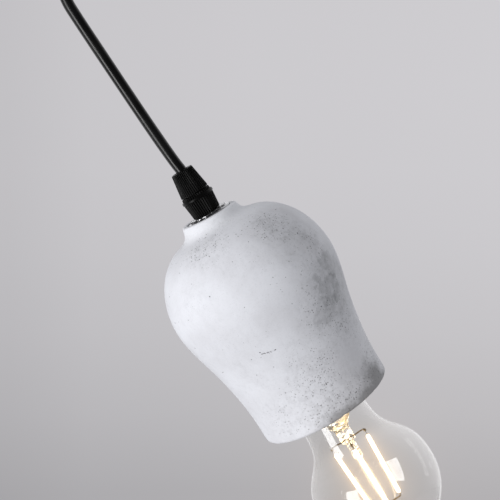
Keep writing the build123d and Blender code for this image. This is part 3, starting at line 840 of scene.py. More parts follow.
    def pinholes(
        self, paint: Paintwork, scale: float, rarest: float, widest: float, crowd: Feed
    ) -> bpy.types.NodeSocket:
        """Scatter small round holes in crowds.

        Args:
            paint: The material's node tree.
            scale: Number of places for a hole in a metre.
            rarest: Share of those places that stay empty.
            widest: Radius of the widest hole, as a share of the spacing.
            crowd: Share of the holes' width that is kept at a place.

        Returns:
            1 in a hole and 0 elsewhere.
        """
        away, drawn = paint.cells(paint.place, scale)
        radius = paint.math("MULTIPLY", paint.span(drawn, rarest, 1.0, 0.0, widest), crowd)
        return paint.math("LESS_THAN", away, radius)

    def stain_and_rim_shade(self, paint: Paintwork, wisps: Feed) -> bpy.types.NodeSocket:
        """Draw the stain patches and the painted shade along the rim, ragged at their edge and streaked
        by wisps.

        Args:
            paint: The material's node tree.
            wisps: Fine clouds.

        Returns:
            How much stain and painted shade there is at a place.
        """
        ragged = paint.noise(paint.place, self.ragged_scale, 6.0, 0.62)
        wander = paint.span(ragged, 0.25, 0.75, -self.ragged_by, self.ragged_by)
        stain_shade = self.gathered(paint, self.stains_and_rim_shade, wander)
        stain_shade = paint.math("MULTIPLY", stain_shade, paint.span(wisps, 0.28, 0.72, 0.62, 1.25))
        return paint.math("MINIMUM", stain_shade, self.stain_shade_most)

    def crowding(self, paint: Paintwork) -> bpy.types.NodeSocket:
        """Work out how thickly the pinholes crowd.

        Args:
            paint: The material's node tree.

        Returns:
            The share of the holes' width that is kept at a place.
        """
        drift = paint.noise(paint.place, self.drift_scale, 2.0, 0.5)
        drift = paint.span(drift, 0.46, 0.64, 0.10, 0.40)
        crowd = paint.math("ADD", self.gathered(paint, self.crowds, 0.0), drift)
        return paint.math("MINIMUM", crowd, 1.0)

    def material(self, effects: Effects) -> bpy.types.Material:
        """Build the material.

        Args:
            effects: The shared node groups.

        Returns:
            The material.
        """
        paint = Paintwork(self.name)
        cloud = paint.noise(paint.place, self.cloud_scale, 5.0, 0.6)
        wisps = paint.noise(paint.place, self.wisp_scale, 4.0, 0.6)
        mottle = paint.noise(paint.place, self.mottle_scale, 4.0, 0.7)
        sand = paint.effect(effects.grain, self.sand_scale)
        height = paint.add("SeparateXYZ", {0: paint.place}).outputs["Z"]
        # Stain patches, with painted shade along the rim at the front right
        stain_shade = self.stain_and_rim_shade(paint, wisps)
        crowd = self.crowding(paint)
        soiled_and_shaded = paint.math("ADD", crowd, stain_shade)
        # Paler towards the collar, from pale_top_from up to pale_top_to
        fresh = paint.span(height, self.pale_top_from, self.pale_top_to, 0.0, 0.35)
        soil_and_shade = paint.span(soiled_and_shaded, 0.1, 0.9, 0.05, 0.20)
        streaks = paint.math("MULTIPLY", paint.span(wisps, 0.50, 0.72), soil_and_shade)
        coarse = paint.math("MULTIPLY", soiled_and_shaded, paint.span(mottle, 0.46, 0.68, 0.0, 0.27))
        specks = paint.span(sand.outputs["Height"], 0.52, 0.70, 0.0, 0.12)
        fine = self.pinholes(paint, *self.fine_holes, crowd)
        wide = self.pinholes(paint, *self.wide_holes, 1.0)
        hole = paint.math("MAXIMUM", paint.math("MAXIMUM", fine, wide), self.scratched(paint))
        colour = paint.mix(paint.span(cloud, 0.35, 0.68), self.pale, self.grey)
        colour = paint.mix(fresh, colour, self.fresh)
        # Streaks, stain patches, mottle and specks take the deep grey; along the rim at the front right
        # it is partly painted shade
        for share in (streaks, stain_shade, coarse, specks):
            colour = paint.mix(share, colour, self.damp_and_shade)
        # The pinholes and scratches are painted deep grey as the shade inside them
        colour = paint.mix(paint.math("MULTIPLY", hole, self.hole_shade_share), colour, self.hole_shade)
        relief = paint.math("MULTIPLY", sand.outputs["Height"], self.sand_relief)
        relief = paint.math("SUBTRACT", relief, hole)
        return paint.finish({
            "Base Color": colour,
            "Roughness": paint.span(sand.outputs["Patch"], 0.0, 1.0, 0.78, 0.92),
            "Specular IOR Level": 0.3,
            "Normal": paint.bump(relief, self.hole_depth, 0.6),
        })


@dataclass(frozen=True)
class PitFinish:
    """The inside of a pit in the concrete, painted as the shade in it, with a little dust."""

    name: str = "pit_in_concrete"
    # Painted shade deep in the pit
    painted_shade: tuple[float, ...] = (0.08, 0.08, 0.084, 1.0)
    dust: tuple[float, ...] = (0.22, 0.22, 0.23, 1.0)
    sand_scale: float = 1500.0
    depth: float = 0.05 * MM

    def material(self, effects: Effects) -> bpy.types.Material:
        """Build the material.

        Args:
            effects: The shared node groups.

        Returns:
            The material.
        """
        paint = Paintwork(self.name)
        sand = paint.effect(effects.grain, self.sand_scale)
        return paint.finish({
            "Base Color": paint.mix(sand.outputs["Patch"], self.painted_shade, self.dust),
            "Roughness": 0.9,
            "Normal": paint.bump(sand.outputs["Height"], self.depth),
        })


@dataclass(frozen=True)
class PlasticFinish:
    """Moulded plastic, paint or ceramic with a fine skin and faint rub marks."""

    name: str
    colour: tuple[float, ...]
    worn: tuple[float, ...]
    smooth: float
    dull: float
    grain: float = 2600.0
    depth: float = 0.02 * MM
    gloss: float = 0.5
    mark_scale: float = 900.0
    mark_dulling: float = 0.12

    def material(self, effects: Effects) -> bpy.types.Material:
        """Build the material.

        Args:
            effects: The shared node groups.

        Returns:
            The material.
        """
        paint = Paintwork(self.name)
        skin = paint.effect(effects.grain, self.grain)
        marks = paint.effect(effects.rubbing, self.mark_scale).outputs["Mask"]
        rough = paint.span(skin.outputs["Patch"], 0.0, 1.0, self.smooth, self.dull)
        return paint.finish({
            "Base Color": paint.mix(skin.outputs["Patch"], self.colour, self.worn),
            "Roughness": paint.math("ADD", rough, paint.math("MULTIPLY", marks, self.mark_dulling)),
            "Specular IOR Level": self.gloss,
            "Normal": paint.bump(skin.outputs["Height"], self.depth),
        })


@dataclass(frozen=True)
class MetalFinish:
    """Plated or bare metal with fine turning rings and faint tarnish."""

    name: str
    colour: tuple[float, ...]
    tarnish: tuple[float, ...]
    smooth: float
    dull: float
    ring_scale: float = 2500.0
    skin_scale: float = 1800.0
    skin_share: float = 0.2
    depth: float = 0.01 * MM

    def material(self, effects: Effects) -> bpy.types.Material:
        """Build the material.

        Args:
            effects: The shared node groups.

        Returns:
            The material.
        """
        paint = Paintwork(self.name)
        turned = paint.effect(effects.turning, self.ring_scale)
        skin = paint.effect(effects.grain, self.skin_scale)
        grain = paint.math("MULTIPLY", skin.outputs["Height"], self.skin_share)
        height = paint.math("ADD", turned.outputs["Height"], grain)
        return paint.finish({
            "Base Color": paint.mix(skin.outputs["Patch"], self.colour, self.tarnish),
            "Metallic": 1.0,
            "Roughness": paint.span(turned.outputs["Patch"], 0.0, 1.0, self.smooth, self.dull),
            "Normal": paint.bump(height, self.depth),
        })


@dataclass(frozen=True)
class GlassFinish:
    """Clear blown glass with a trace of haze."""

    name: str = "clear_blown_glass"
    tint: tuple[float, ...] = (0.985, 0.99, 0.985, 1)
    haze: float = 0.006
    haze_scale: float = 90.0
    refraction: float = 1.42
    bloom: float = 0.3
    bloom_spread: float = 0.3

    def material(self, effects: Effects) -> bpy.types.Material:
        """Build the material.

        Args:
            effects: The shared node groups.

        Returns:
            The material.
        """
        paint = Paintwork(self.name)
        cloud = paint.effect(effects.grain, self.haze_scale).outputs["Patch"]
        return paint.finish({
            "Base Color": self.tint,
            "Roughness": paint.span(cloud, 0.6, 1.0, 0.0, self.haze),
            "IOR": self.refraction,
            "Transmission Weight": 1.0,
            "Sheen Weight": self.bloom,
            "Sheen Roughness": self.bloom_spread,
        })


@dataclass(frozen=True)
class StemFinish:
    """Wavy pressed glass with painted glints: an emission in gold and pale yellow that stands in for the
    filaments' light reflected in it.
    """

    name: str = "pressed_stem_glass"
    tint: tuple[float, ...] = (0.98, 0.96, 0.92, 1.0)
    unlit: tuple[float, ...] = (0.0, 0.0, 0.0, 1.0)
    gold_glint: tuple[float, ...] = (1.0, 0.66, 0.28, 1.0)
    pale_glint: tuple[float, ...] = (1.0, 0.92, 0.74, 1.0)
    # Strength of the painted glints' emission
    strength: float = 2.0
    wave_scale: float = 330.0
    facet_scale: float = 560.0
    depth: float = 0.35 * MM
    refraction: float = 1.5

    def material(self, effects: Effects) -> bpy.types.Material:
        """Build the material.

        Args:
            effects: The shared node groups.

        Returns:
            The material.
        """
        paint = Paintwork(self.name)
        waves = paint.effect(effects.grain, self.wave_scale)
        _, facet = paint.cells(paint.place, self.facet_scale)
        crests = paint.span(waves.outputs["Height"], 0.46, 0.58)
        # Painted glints: emission on some facets along the crests of the waves, standing in for
        # reflected filament light
        lit = paint.math("MULTIPLY", paint.span(facet, 0.50, 0.68), crests)
        painted_glint = paint.mix(paint.span(facet, 0.68, 0.90), self.gold_glint, self.pale_glint)
        return paint.finish({
            "Base Color": self.tint,
            "Roughness": paint.span(waves.outputs["Patch"], 0.0, 1.0, 0.01, 0.06),
            "IOR": self.refraction,
            "Transmission Weight": 1.0,
            "Emission Color": paint.mix(lit, self.unlit, painted_glint),
            "Emission Strength": self.strength,
            "Normal": paint.bump(paint.math("ADD", waves.outputs["Height"], facet), self.depth),
        })


@dataclass(frozen=True)
class FilamentFinish:
    """A lit filament's yellow coating, hotter where its chips sit."""

    name: str = "lit_filament"
    coating: tuple[float, ...] = (0.85, 0.55, 0.12, 1.0)
    hot: tuple[float, ...] = (1.0, 0.86, 0.60, 1.0)
    warm: tuple[float, ...] = (1.0, 0.74, 0.40, 1.0)
    strength: float = 7.0
    skin_scale: float = 1500.0

    def material(self, effects: Effects) -> bpy.types.Material:
        """Build the material.

        Args:
            effects: The shared node groups.

        Returns:
            The material.
        """
        paint = Paintwork(self.name)
        skin = paint.effect(effects.grain, self.skin_scale).outputs["Patch"]
        return paint.finish({
            "Base Color": paint.mix(skin, self.coating, self.warm),
            "Roughness": 0.6,
            "Emission Color": paint.mix(skin, self.hot, self.warm),
            "Emission Strength": self.strength,
        })


class Palette:
    """The light's materials, each built once."""

    def __init__(self) -> None:
        """Build the shared effects and every material."""
        effects = Effects()
        self.concrete = ConcreteFinish().material(effects)
        self.pit = PitFinish().material(effects)
        self.nylon = PlasticFinish(
            "black_moulded_nylon",
            (0.0014, 0.0014, 0.0015, 1),
            (0.0024, 0.0024, 0.0025, 1),
            0.34,
            0.46,
            depth=0.005 * MM,
            gloss=0.12,
        ).material(effects)
        self.cord = PlasticFinish(
            "black_cord_sheath",
            (0.0032, 0.0032, 0.0034, 1),
            (0.0052, 0.0052, 0.0054, 1),
            0.24,
            0.32,
            900.0,
            0.002 * MM,
            0.34,
        ).material(effects)
        self.paint = PlasticFinish(
            "black_powder_coat",
            (0.014, 0.014, 0.015, 1),
            (0.020, 0.020, 0.021, 1),
            0.36,
            0.46,
            1700.0,
            0.03 * MM,
        ).material(effects)
        self.resin = PlasticFinish(
            "black_pressed_resin", (0.016, 0.015, 0.014, 1), (0.024, 0.022, 0.021, 1), 0.28, 0.40
        ).material(effects)
        self.white_nylon = PlasticFinish(
            "white_moulded_nylon", (0.80, 0.80, 0.77, 1), (0.72, 0.72, 0.69, 1), 0.38, 0.50
        ).material(effects)
        self.ceramic = PlasticFinish(
            "white_glazed_ceramic", (0.80, 0.79, 0.75, 1), (0.70, 0.69, 0.65, 1), 0.22, 0.34, 900.0
        ).material(effects)
        self.zinc = MetalFinish(
            "zinc_plated_steel", (0.62, 0.63, 0.65, 1), (0.48, 0.49, 0.50, 1), 0.26, 0.40
        ).material(effects)
        self.chrome = MetalFinish(
            "bright_plated_steel", (0.50, 0.50, 0.51, 1), (0.34, 0.34, 0.35, 1), 0.24, 0.40
        ).material(effects)
        self.seat = MetalFinish(
            "dull_plated_disc", (0.50, 0.50, 0.51, 1), (0.36, 0.36, 0.37, 1), 0.24, 0.42
        ).material(effects)
        self.lead = MetalFinish(
            "dark_lead_wire", (0.24, 0.19, 0.13, 1), (0.12, 0.09, 0.06, 1), 0.26, 0.42
        ).material(effects)
        self.nickel = MetalFinish(
            "nickel_plated_cap", (0.70, 0.69, 0.66, 1), (0.58, 0.57, 0.54, 1), 0.22, 0.34
        ).material(effects)
        self.brass = MetalFinish(
            "pressed_brass", (0.72, 0.55, 0.26, 1), (0.55, 0.40, 0.18, 1), 0.24, 0.38
        ).material(effects)
        self.glass = GlassFinish().material(effects)
        self.stem_glass = StemFinish().material(effects)
        self.filament = FilamentFinish().material(effects)


# The light's sub-assemblies


@dataclass
class CordRun:
    """The free cord between the two grips, which bends where it leaves each of them."""

    diameter: float = 5.2 * MM
    sides: int = 40
    bow: tuple[tuple[float, float], ...] = (
        (-1.45 * MM, 5.2 * MM), (-3.35 * MM, 12.0 * MM), (-3.55 * MM, 20.0 * MM), (-1.0 * MM, 95.0 * MM),
    )
    smooth: int = 24
    first_ring: float = 1.0 * MM
    bend_before: float = 1.6 * MM
    bend_after: float = 8.4 * MM

    def route(self, upper: float, lower: float) -> list[Vector]:
        """Draw the cord's line as a smooth spline and read its points.

        Args:
            upper: Height where the cord leaves the canopy's grip.
            lower: Height where it enters the lamp's grip.

        Returns:
            Points from the upper end to the lower.
        """
        stations = [(0.0, 0.0), *self.bow, (0.0, upper - lower)]
        curve = bpy.data.curves.new("cord_route", "CURVE")
        curve.dimensions = "3D"
        curve.resolution_u = self.smooth
        spline = curve.splines.new("NURBS")
        spline.points.add(len(stations) - 1)
        for point, (aside, down) in zip(spline.points, stations):
            point.co = (aside, 0.0, upper - down, 1.0)
        spline.order_u = 3
        spline.use_endpoint_u = True
        holder = bpy.data.objects.new("cord_route", curve)
        bpy.context.scene.collection.objects.link(holder)
        line = bpy.data.meshes.new_from_object(holder)
        points = [v.co.copy() for v in line.vertices]
        bpy.data.objects.remove(holder)
        bpy.data.curves.remove(curve)
        bpy.data.meshes.remove(line)
        return points

    def stretch(
        self, name: str, path: list[Vector], palette: Palette
    ) -> None:
        """Make one stretch of cord, from the grip outwards.

        Args:
            name: Name of the stretch.
            path: Its points, from the grip outwards.
            palette: The light's materials.
        """
        bm = bmesh.new()
        rings = [path[0], *(p for p in path[1:] if (p - path[0]).length > self.first_ring)]
        sweep(bm, rings, self.diameter / 2, self.sides, level_start=True)
        piece = make_object(name, bm, [palette.cord])
        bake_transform(piece)
        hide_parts("cord")

    def build(self, palette: Palette) -> None:
        """Make both stretches, which meet in the middle of the run, and dress the held ends.

        Args:
            palette: The light's materials.
        """
        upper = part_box("canopy_cord_end")[0].z
        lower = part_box("lamp_cord_end")[1].z
        points = self.route(upper, lower)
        middle = min(range(len(points)), key=lambda k: abs(points[k].z - (upper + lower) / 2))
        self.stretch("cord_upper_stretch", points[: middle + 1], palette)
        self.stretch("cord_lower_stretch", points[middle:][::-1], palette)
        for node in ("canopy_cord_end", "lamp_cord_end"):
            dress_node(node, palette.cord)


@dataclass(frozen=True)
class Ring:
    """One ring of a ribbed wall: its radius, its height from the seat, and how far it is ribbed."""

    radius: float
    height: float
    ribbed: float = 0.0


@dataclass
class CordGrip:
    """A ribbed two-piece cord grip, seated at one height and pointing up or down."""

    name: str
    seat: float
    pointing: Pointing
    base_body: Body
    nut_body: Body
    ribs: int = 40
    sides_per_rib: int = 6
    rib_depth: float = 0.42 * MM
    rib_width: float = 1.4
    base_rings: tuple[Ring, ...] = (
        Ring(4.95 * MM, 4.0 * MM),
        Ring(4.95 * MM, 0.0),
        Ring(6.2 * MM, 0.0),
        Ring(6.50 * MM, 0.15 * MM, 0.6),
        Ring(6.60 * MM, 0.45 * MM, 1.0),
        Ring(7.30 * MM, 7.15 * MM, 1.0),
        Ring(7.25 * MM, 7.45 * MM, 0.7),
        Ring(6.95 * MM, 7.55 * MM, 0.0),
        Ring(7.30 * MM, 7.60 * MM),
        Ring(7.58 * MM, 7.70 * MM),
        Ring(7.68 * MM, 7.90 * MM),
        Ring(7.68 * MM, 8.75 * MM),
        Ring(7.58 * MM, 8.95 * MM),
        Ring(7.08 * MM, 9.05 * MM, 0.5),
        Ring(6.98 * MM, 9.25 * MM, 1.0),
        Ring(6.84 * MM, 10.25 * MM, 1.0),
        Ring(6.66 * MM, 10.43 * MM, 0.3),
        Ring(6.50 * MM, 10.45 * MM),
        Ring(4.70 * MM, 10.45 * MM),
        Ring(4.70 * MM, 15.75 * MM),
        Ring(4.50 * MM, 15.95 * MM),
        Ring(4.0 * MM, 15.95 * MM),
        Ring(2.95 * MM, 13.25 * MM),
        Ring(2.75 * MM, 7.6 * MM),
        Ring(2.75 * MM, 4.3 * MM),
    )
    nut_rings: tuple[Ring, ...] = (
        Ring(5.05 * MM, 10.75 * MM),
        Ring(6.50 * MM, 10.75 * MM),
        Ring(6.70 * MM, 10.85 * MM),
        Ring(6.75 * MM, 11.05 * MM, 0.3),
        Ring(6.73 * MM, 11.30 * MM, 1.0),
        Ring(5.22 * MM, 21.35 * MM, 1.0),
        Ring(5.16 * MM, 21.62 * MM, 0.4),
        Ring(5.02 * MM, 21.88 * MM),
        Ring(4.80 * MM, 22.00 * MM),
        Ring(4.20 * MM, 22.00 * MM),
        Ring(3.70 * MM, 21.88 * MM),
        Ring(3.35 * MM, 21.60 * MM),
        Ring(3.20 * MM, 21.10 * MM),
        Ring(3.20 * MM, 20.65 * MM),
        Ring(5.05 * MM, 16.55 * MM),
    )

    def wall(self, rings: Sequence[Ring]) -> bmesh.types.BMesh:
        """Raise a closed ribbed wall ring by ring.

        Args:
            rings: The rings in order round the wall's outline.

        Returns:
            The wall, in place on the seat.
        """
        sides = self.ribs * self.sides_per_rib
        bm = bmesh.new()
        circle = bmesh.ops.create_circle(bm, cap_ends=False, segments=sides, radius=rings[0].radius)
        verts = circle["verts"]
        first = edges = list(dict.fromkeys(e for v in verts for e in v.link_edges))
        for ring in rings:
            if ring is not rings[0]:
                verts, edges = grow_ring(bm, edges)
            for v in verts:
                angle = math.atan2(v.co.y, v.co.x)
                valley = (0.5 - 0.5 * math.cos(self.ribs * angle)) ** self.rib_width
                radius = ring.radius - ring.ribbed * self.rib_depth * valley
                height = self.seat + self.pointing.value * ring.height
                v.co = (radius * math.cos(angle), radius * math.sin(angle), height)
        bmesh.ops.bridge_loops(bm, edges=first + edges)
        bmesh.ops.recalc_face_normals(bm, faces=bm.faces[:])
        return bm

    def build(self, palette: Palette) -> None:
        """Make the base and the nut, and dress the collet inside them.

        Args:
            palette: The light's materials.
        """
        for piece, node, rings, body in (
            ("grip_moulding", "grip_base", self.base_rings, self.base_body),
            ("grip_cap", "grip_nut", self.nut_rings, self.nut_body),
        ):
            place_piece(
                f"{self.name}_{piece}",
                self.wall(rings),
                body,
                [palette.nylon],
                f"{self.name}_{node}",
            )
        dress_node(f"{self.name}_grip_collet", palette.white_nylon)


@dataclass
class Canopy:
    """The ceiling cup with its side screws, bracket, terminal block and cord tube."""

    radius: float = 45.0 * MM
    height: float = 26.0 * MM
    wall: float = 1.2 * MM
    hole: float = 5.4 * MM
    round_out: float = 5.0 * MM
    round_steps: int = 8
    edge: float = 0.25 * MM
    edge_corner: float = math.radians(50)
    steps: int = 128
    screw_radius: float = 3.6 * MM
    screw_head: float = 2.4 * MM
    screw_drop: float = 5.5 * MM
    screw_edge: float = 0.2 * MM
    screw_steps: int = 48
    shank: float = 2.0 * MM
    shank_length: float = 5.8 * MM
    cross_arm: float = 1.7 * MM
    cross_half: float = 0.38 * MM
    cross_depth: float = 0.9 * MM
    cross_taper: float = 0.7
    node_edge: float = 0.2 * MM
    thread: Thread = TUBE_THREAD

    def cup(self) -> bmesh.types.BMesh:
        """Turn the cup and round its lower edge.

        Returns:
            The cup.
        """
        inner = self.radius - self.wall
        floor = -self.height + self.wall
        bm = lathe(
            [
                (self.radius, 0.0),
                (self.radius, -self.height),
                (self.hole, -self.height),
                (self.hole, floor),
                (inner, floor),
                (inner, 0.0),
            ],
            self.steps,
            closed=True,
        )
        for radius, height, width in (
            (self.radius, -self.height, self.round_out),
            (inner, floor, self.round_out - self.wall),
        ):
            on_edge = {
                v
                for v in bm.verts
                if abs(v.co.z - height) < WELD and abs(v.co.xy.length - radius) < WELD
            }
            edges = [e for e in bm.edges if on_edge.issuperset(e.verts)]
            round_edges(bm, edges, width, self.round_steps, clamp=False)
        soften(bm, self.edge, corner=self.edge_corner)
        return bm

    def head_top(self, bm: bmesh.types.BMesh) -> list[bmesh.types.BMFace]:
        """Find the faces of a side screw's flat top, before the screw is put in place."""
        return [f for f in bm.faces if f.calc_center_median().z > 0.99 * self.screw_head]

    def screw(self, side: Side) -> bmesh.types.BMesh:
        """Make a side screw with a domed head and a cross recess.

        Args:
            side: The side that it goes in from.

        Returns:
            The screw in place.
        """
        arm, half = self.cross_arm, self.cross_half
        bm = lathe(
            [
                (0.0, -self.shank_length),
                (self.shank, -self.shank_length),
                (self.shank, 0.0),
                (self.screw_radius, 0.0),
                (self.screw_radius, 0.55 * self.screw_head),
                (0.86 * self.screw_radius, 0.88 * self.screw_head),
                (0.55 * self.screw_radius, self.screw_head),
                (0.0, self.screw_head),
            ],
            self.screw_steps,
            closed=False,
        )
        bmesh.ops.dissolve_faces(bm, faces=self.head_top(bm))
        soften(bm, self.screw_edge)
        for axis in range(2):
            for cut in (-arm, -half, half, arm):
                plane = Vector((0, 0, 0))
                plane[axis] = 1.0
                top = self.head_top(bm)
                bmesh.ops.bisect_plane(
                    bm,
                    geom=list(dict.fromkeys(g for f in top for g in (*f.verts, *f.edges, f))),
                    dist=WELD,
                    plane_co=plane * cut,
                    plane_no=plane,
                )
        recess = []
        for f in self.head_top(bm):
            short, long = sorted(abs(part) for part in f.calc_center_median().xy)
            if long < arm and short < half:
                recess.append(f)
        sunk = pull_faces(bm, recess)
        bmesh.ops.translate(bm, verts=sunk, vec=(0, 0, -self.cross_depth))
        bmesh.ops.scale(bm, verts=sunk, vec=(self.cross_taper, self.cross_taper, 1.0))
        turn = Matrix.Rotation(side.value * math.pi / 2, 4, "Y")
        place = Matrix.Translation((side.value * self.radius, 0, -self.screw_drop))
        bmesh.ops.transform(bm, matrix=place @ turn, verts=bm.verts[:])
        bmesh.ops.recalc_face_normals(bm, faces=bm.faces[:])
        return bm

    def build(self, palette: Palette) -> None:
        """Make and dress everything at the ceiling but the cord grip.

        Args:
            palette: The light's materials.
        """
        place_piece(
            "canopy_shell",
            self.cup(),
            Body.CEILING,
            [palette.paint],
            "canopy_cup",
            sharp=30,
        )
        for side in Side:
            word = side.name.lower()
            place_piece(
                f"canopy_side_screw_{word}",
                self.screw(side),
                Body.CEILING,
                [palette.zinc],
                f"canopy_screw_{word}",
            )
        for node, slot, material in (
            ("ceiling_bracket", Slot.ZINC_STEEL, palette.zinc),
            ("terminal_block", Slot.WHITE_NYLON, palette.white_nylon),
            ("terminal_screws", Slot.BRASS, palette.brass),
            ("canopy_nut", Slot.ZINC_STEEL, palette.zinc),
        ):
            finish_node(node, self.node_edge, Body.CEILING, material)
        low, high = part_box("canopy_tube")
        place_piece(
            "canopy_tube_threaded",
            self.thread.roll(low.z, high.z),
            Body.CEILING,
            [palette.zinc],
            "canopy_tube",
        )


@dataclass
class SeatHardware:
    """The tube through the shade with the washers and the nut that clamp it."""

    ring_in: float = 5.4 * MM
    ring_out: float = 7.3 * MM
    ring_depth: float = 0.5 * MM
    tooth_out: float = 9.0 * MM
    teeth: int = 14
    steps_per_tooth: int = 4
    first_tooth: float = math.radians(5)
    twist: float = math.radians(17)
    tooth_edge: float = 0.08 * MM
    disc_steps: int = 96
    disc_edge: float = 0.3 * MM
    node_edge: float = 0.2 * MM
    thread: Thread = TUBE_THREAD

    def seat_washer(self) -> bmesh.types.BMesh:
        """Turn the bright disc in the collar.

        Returns:
            The disc.
        """
        low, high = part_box("seat_washer")
        bm = lathe(
            [(self.ring_in, low.z), (high.x, low.z), (high.x, high.z), (self.ring_in, high.z)],
            self.disc_steps,
            closed=True,
        )
        soften(bm, self.disc_edge, segments=3)
        return bm

    def tooth_washer(self) -> bmesh.types.BMesh:
        """Turn the lock washer's ring and draw its twisted teeth out of the edge.

        Returns:
            The washer.
        """
        low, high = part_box("tooth_washer")
        middle = (low.z + high.z) / 2
        under, over = middle - self.ring_depth / 2, middle + self.ring_depth / 2
        steps = self.teeth * self.steps_per_tooth
        bm = lathe(
            [(self.ring_in, under), (self.ring_out, under), (self.ring_out, over), (self.ring_in, over)],
            steps,
            closed=True,
        )
        rim = [f for f in bm.faces if outward(f) > 0.9]
        for tooth in range(self.teeth):
            turn = Matrix.Rotation(self.first_tooth + math.tau * tooth / self.teeth, 3, "Z")
            out = turn @ Vector((1, 0, 0))
            mine = [
                f
                for f in rim
                if f.is_valid and f.calc_center_median().xy.to_3d().angle(out) < math.tau / steps
            ]
            tips = pull_faces(bm, mine)
            bmesh.ops.translate(bm, verts=tips, vec=out * (self.tooth_out - self.ring_out))
            centre = out * self.tooth_out + Vector((0, 0, middle))
            bmesh.ops.rotate(bm, verts=tips, cent=centre, matrix=Matrix.Rotation(self.twist, 3, out))
        soften(bm, self.tooth_edge)
        bmesh.ops.recalc_face_normals(bm, faces=bm.faces[:])
        return bm

    def build(self, palette: Palette) -> None:
        """Make and dress the clamped parts.

        Args:
            palette: The light's materials.
        """
        low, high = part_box("lamp_tube")
        tube = self.thread.roll(low.z, high.z)
        for name, bm, slot, material, node in (
            ("seat_disc", self.seat_washer(), Slot.BRIGHT_STEEL, palette.seat, "seat_washer"),
            ("lock_washer", self.tooth_washer(), Slot.BRIGHT_STEEL, palette.chrome, "tooth_washer"),
            ("lamp_tube_threaded", tube, Slot.ZINC_STEEL, palette.zinc, "lamp_tube"),
        ):
            place_piece(name, bm, Body.LAMP, [material], node)
        for node in ("inner_washer", "lamp_nut"):
            finish_node(node, self.node_edge, Body.LAMP, palette.zinc)


@dataclass(frozen=True)
class PitCluster:
    """A crowd of pits: its turn from the front, its drop from the collar, its spreads and its count."""

    turn: float
    drop: float
    across: float
    along: float
    count: int


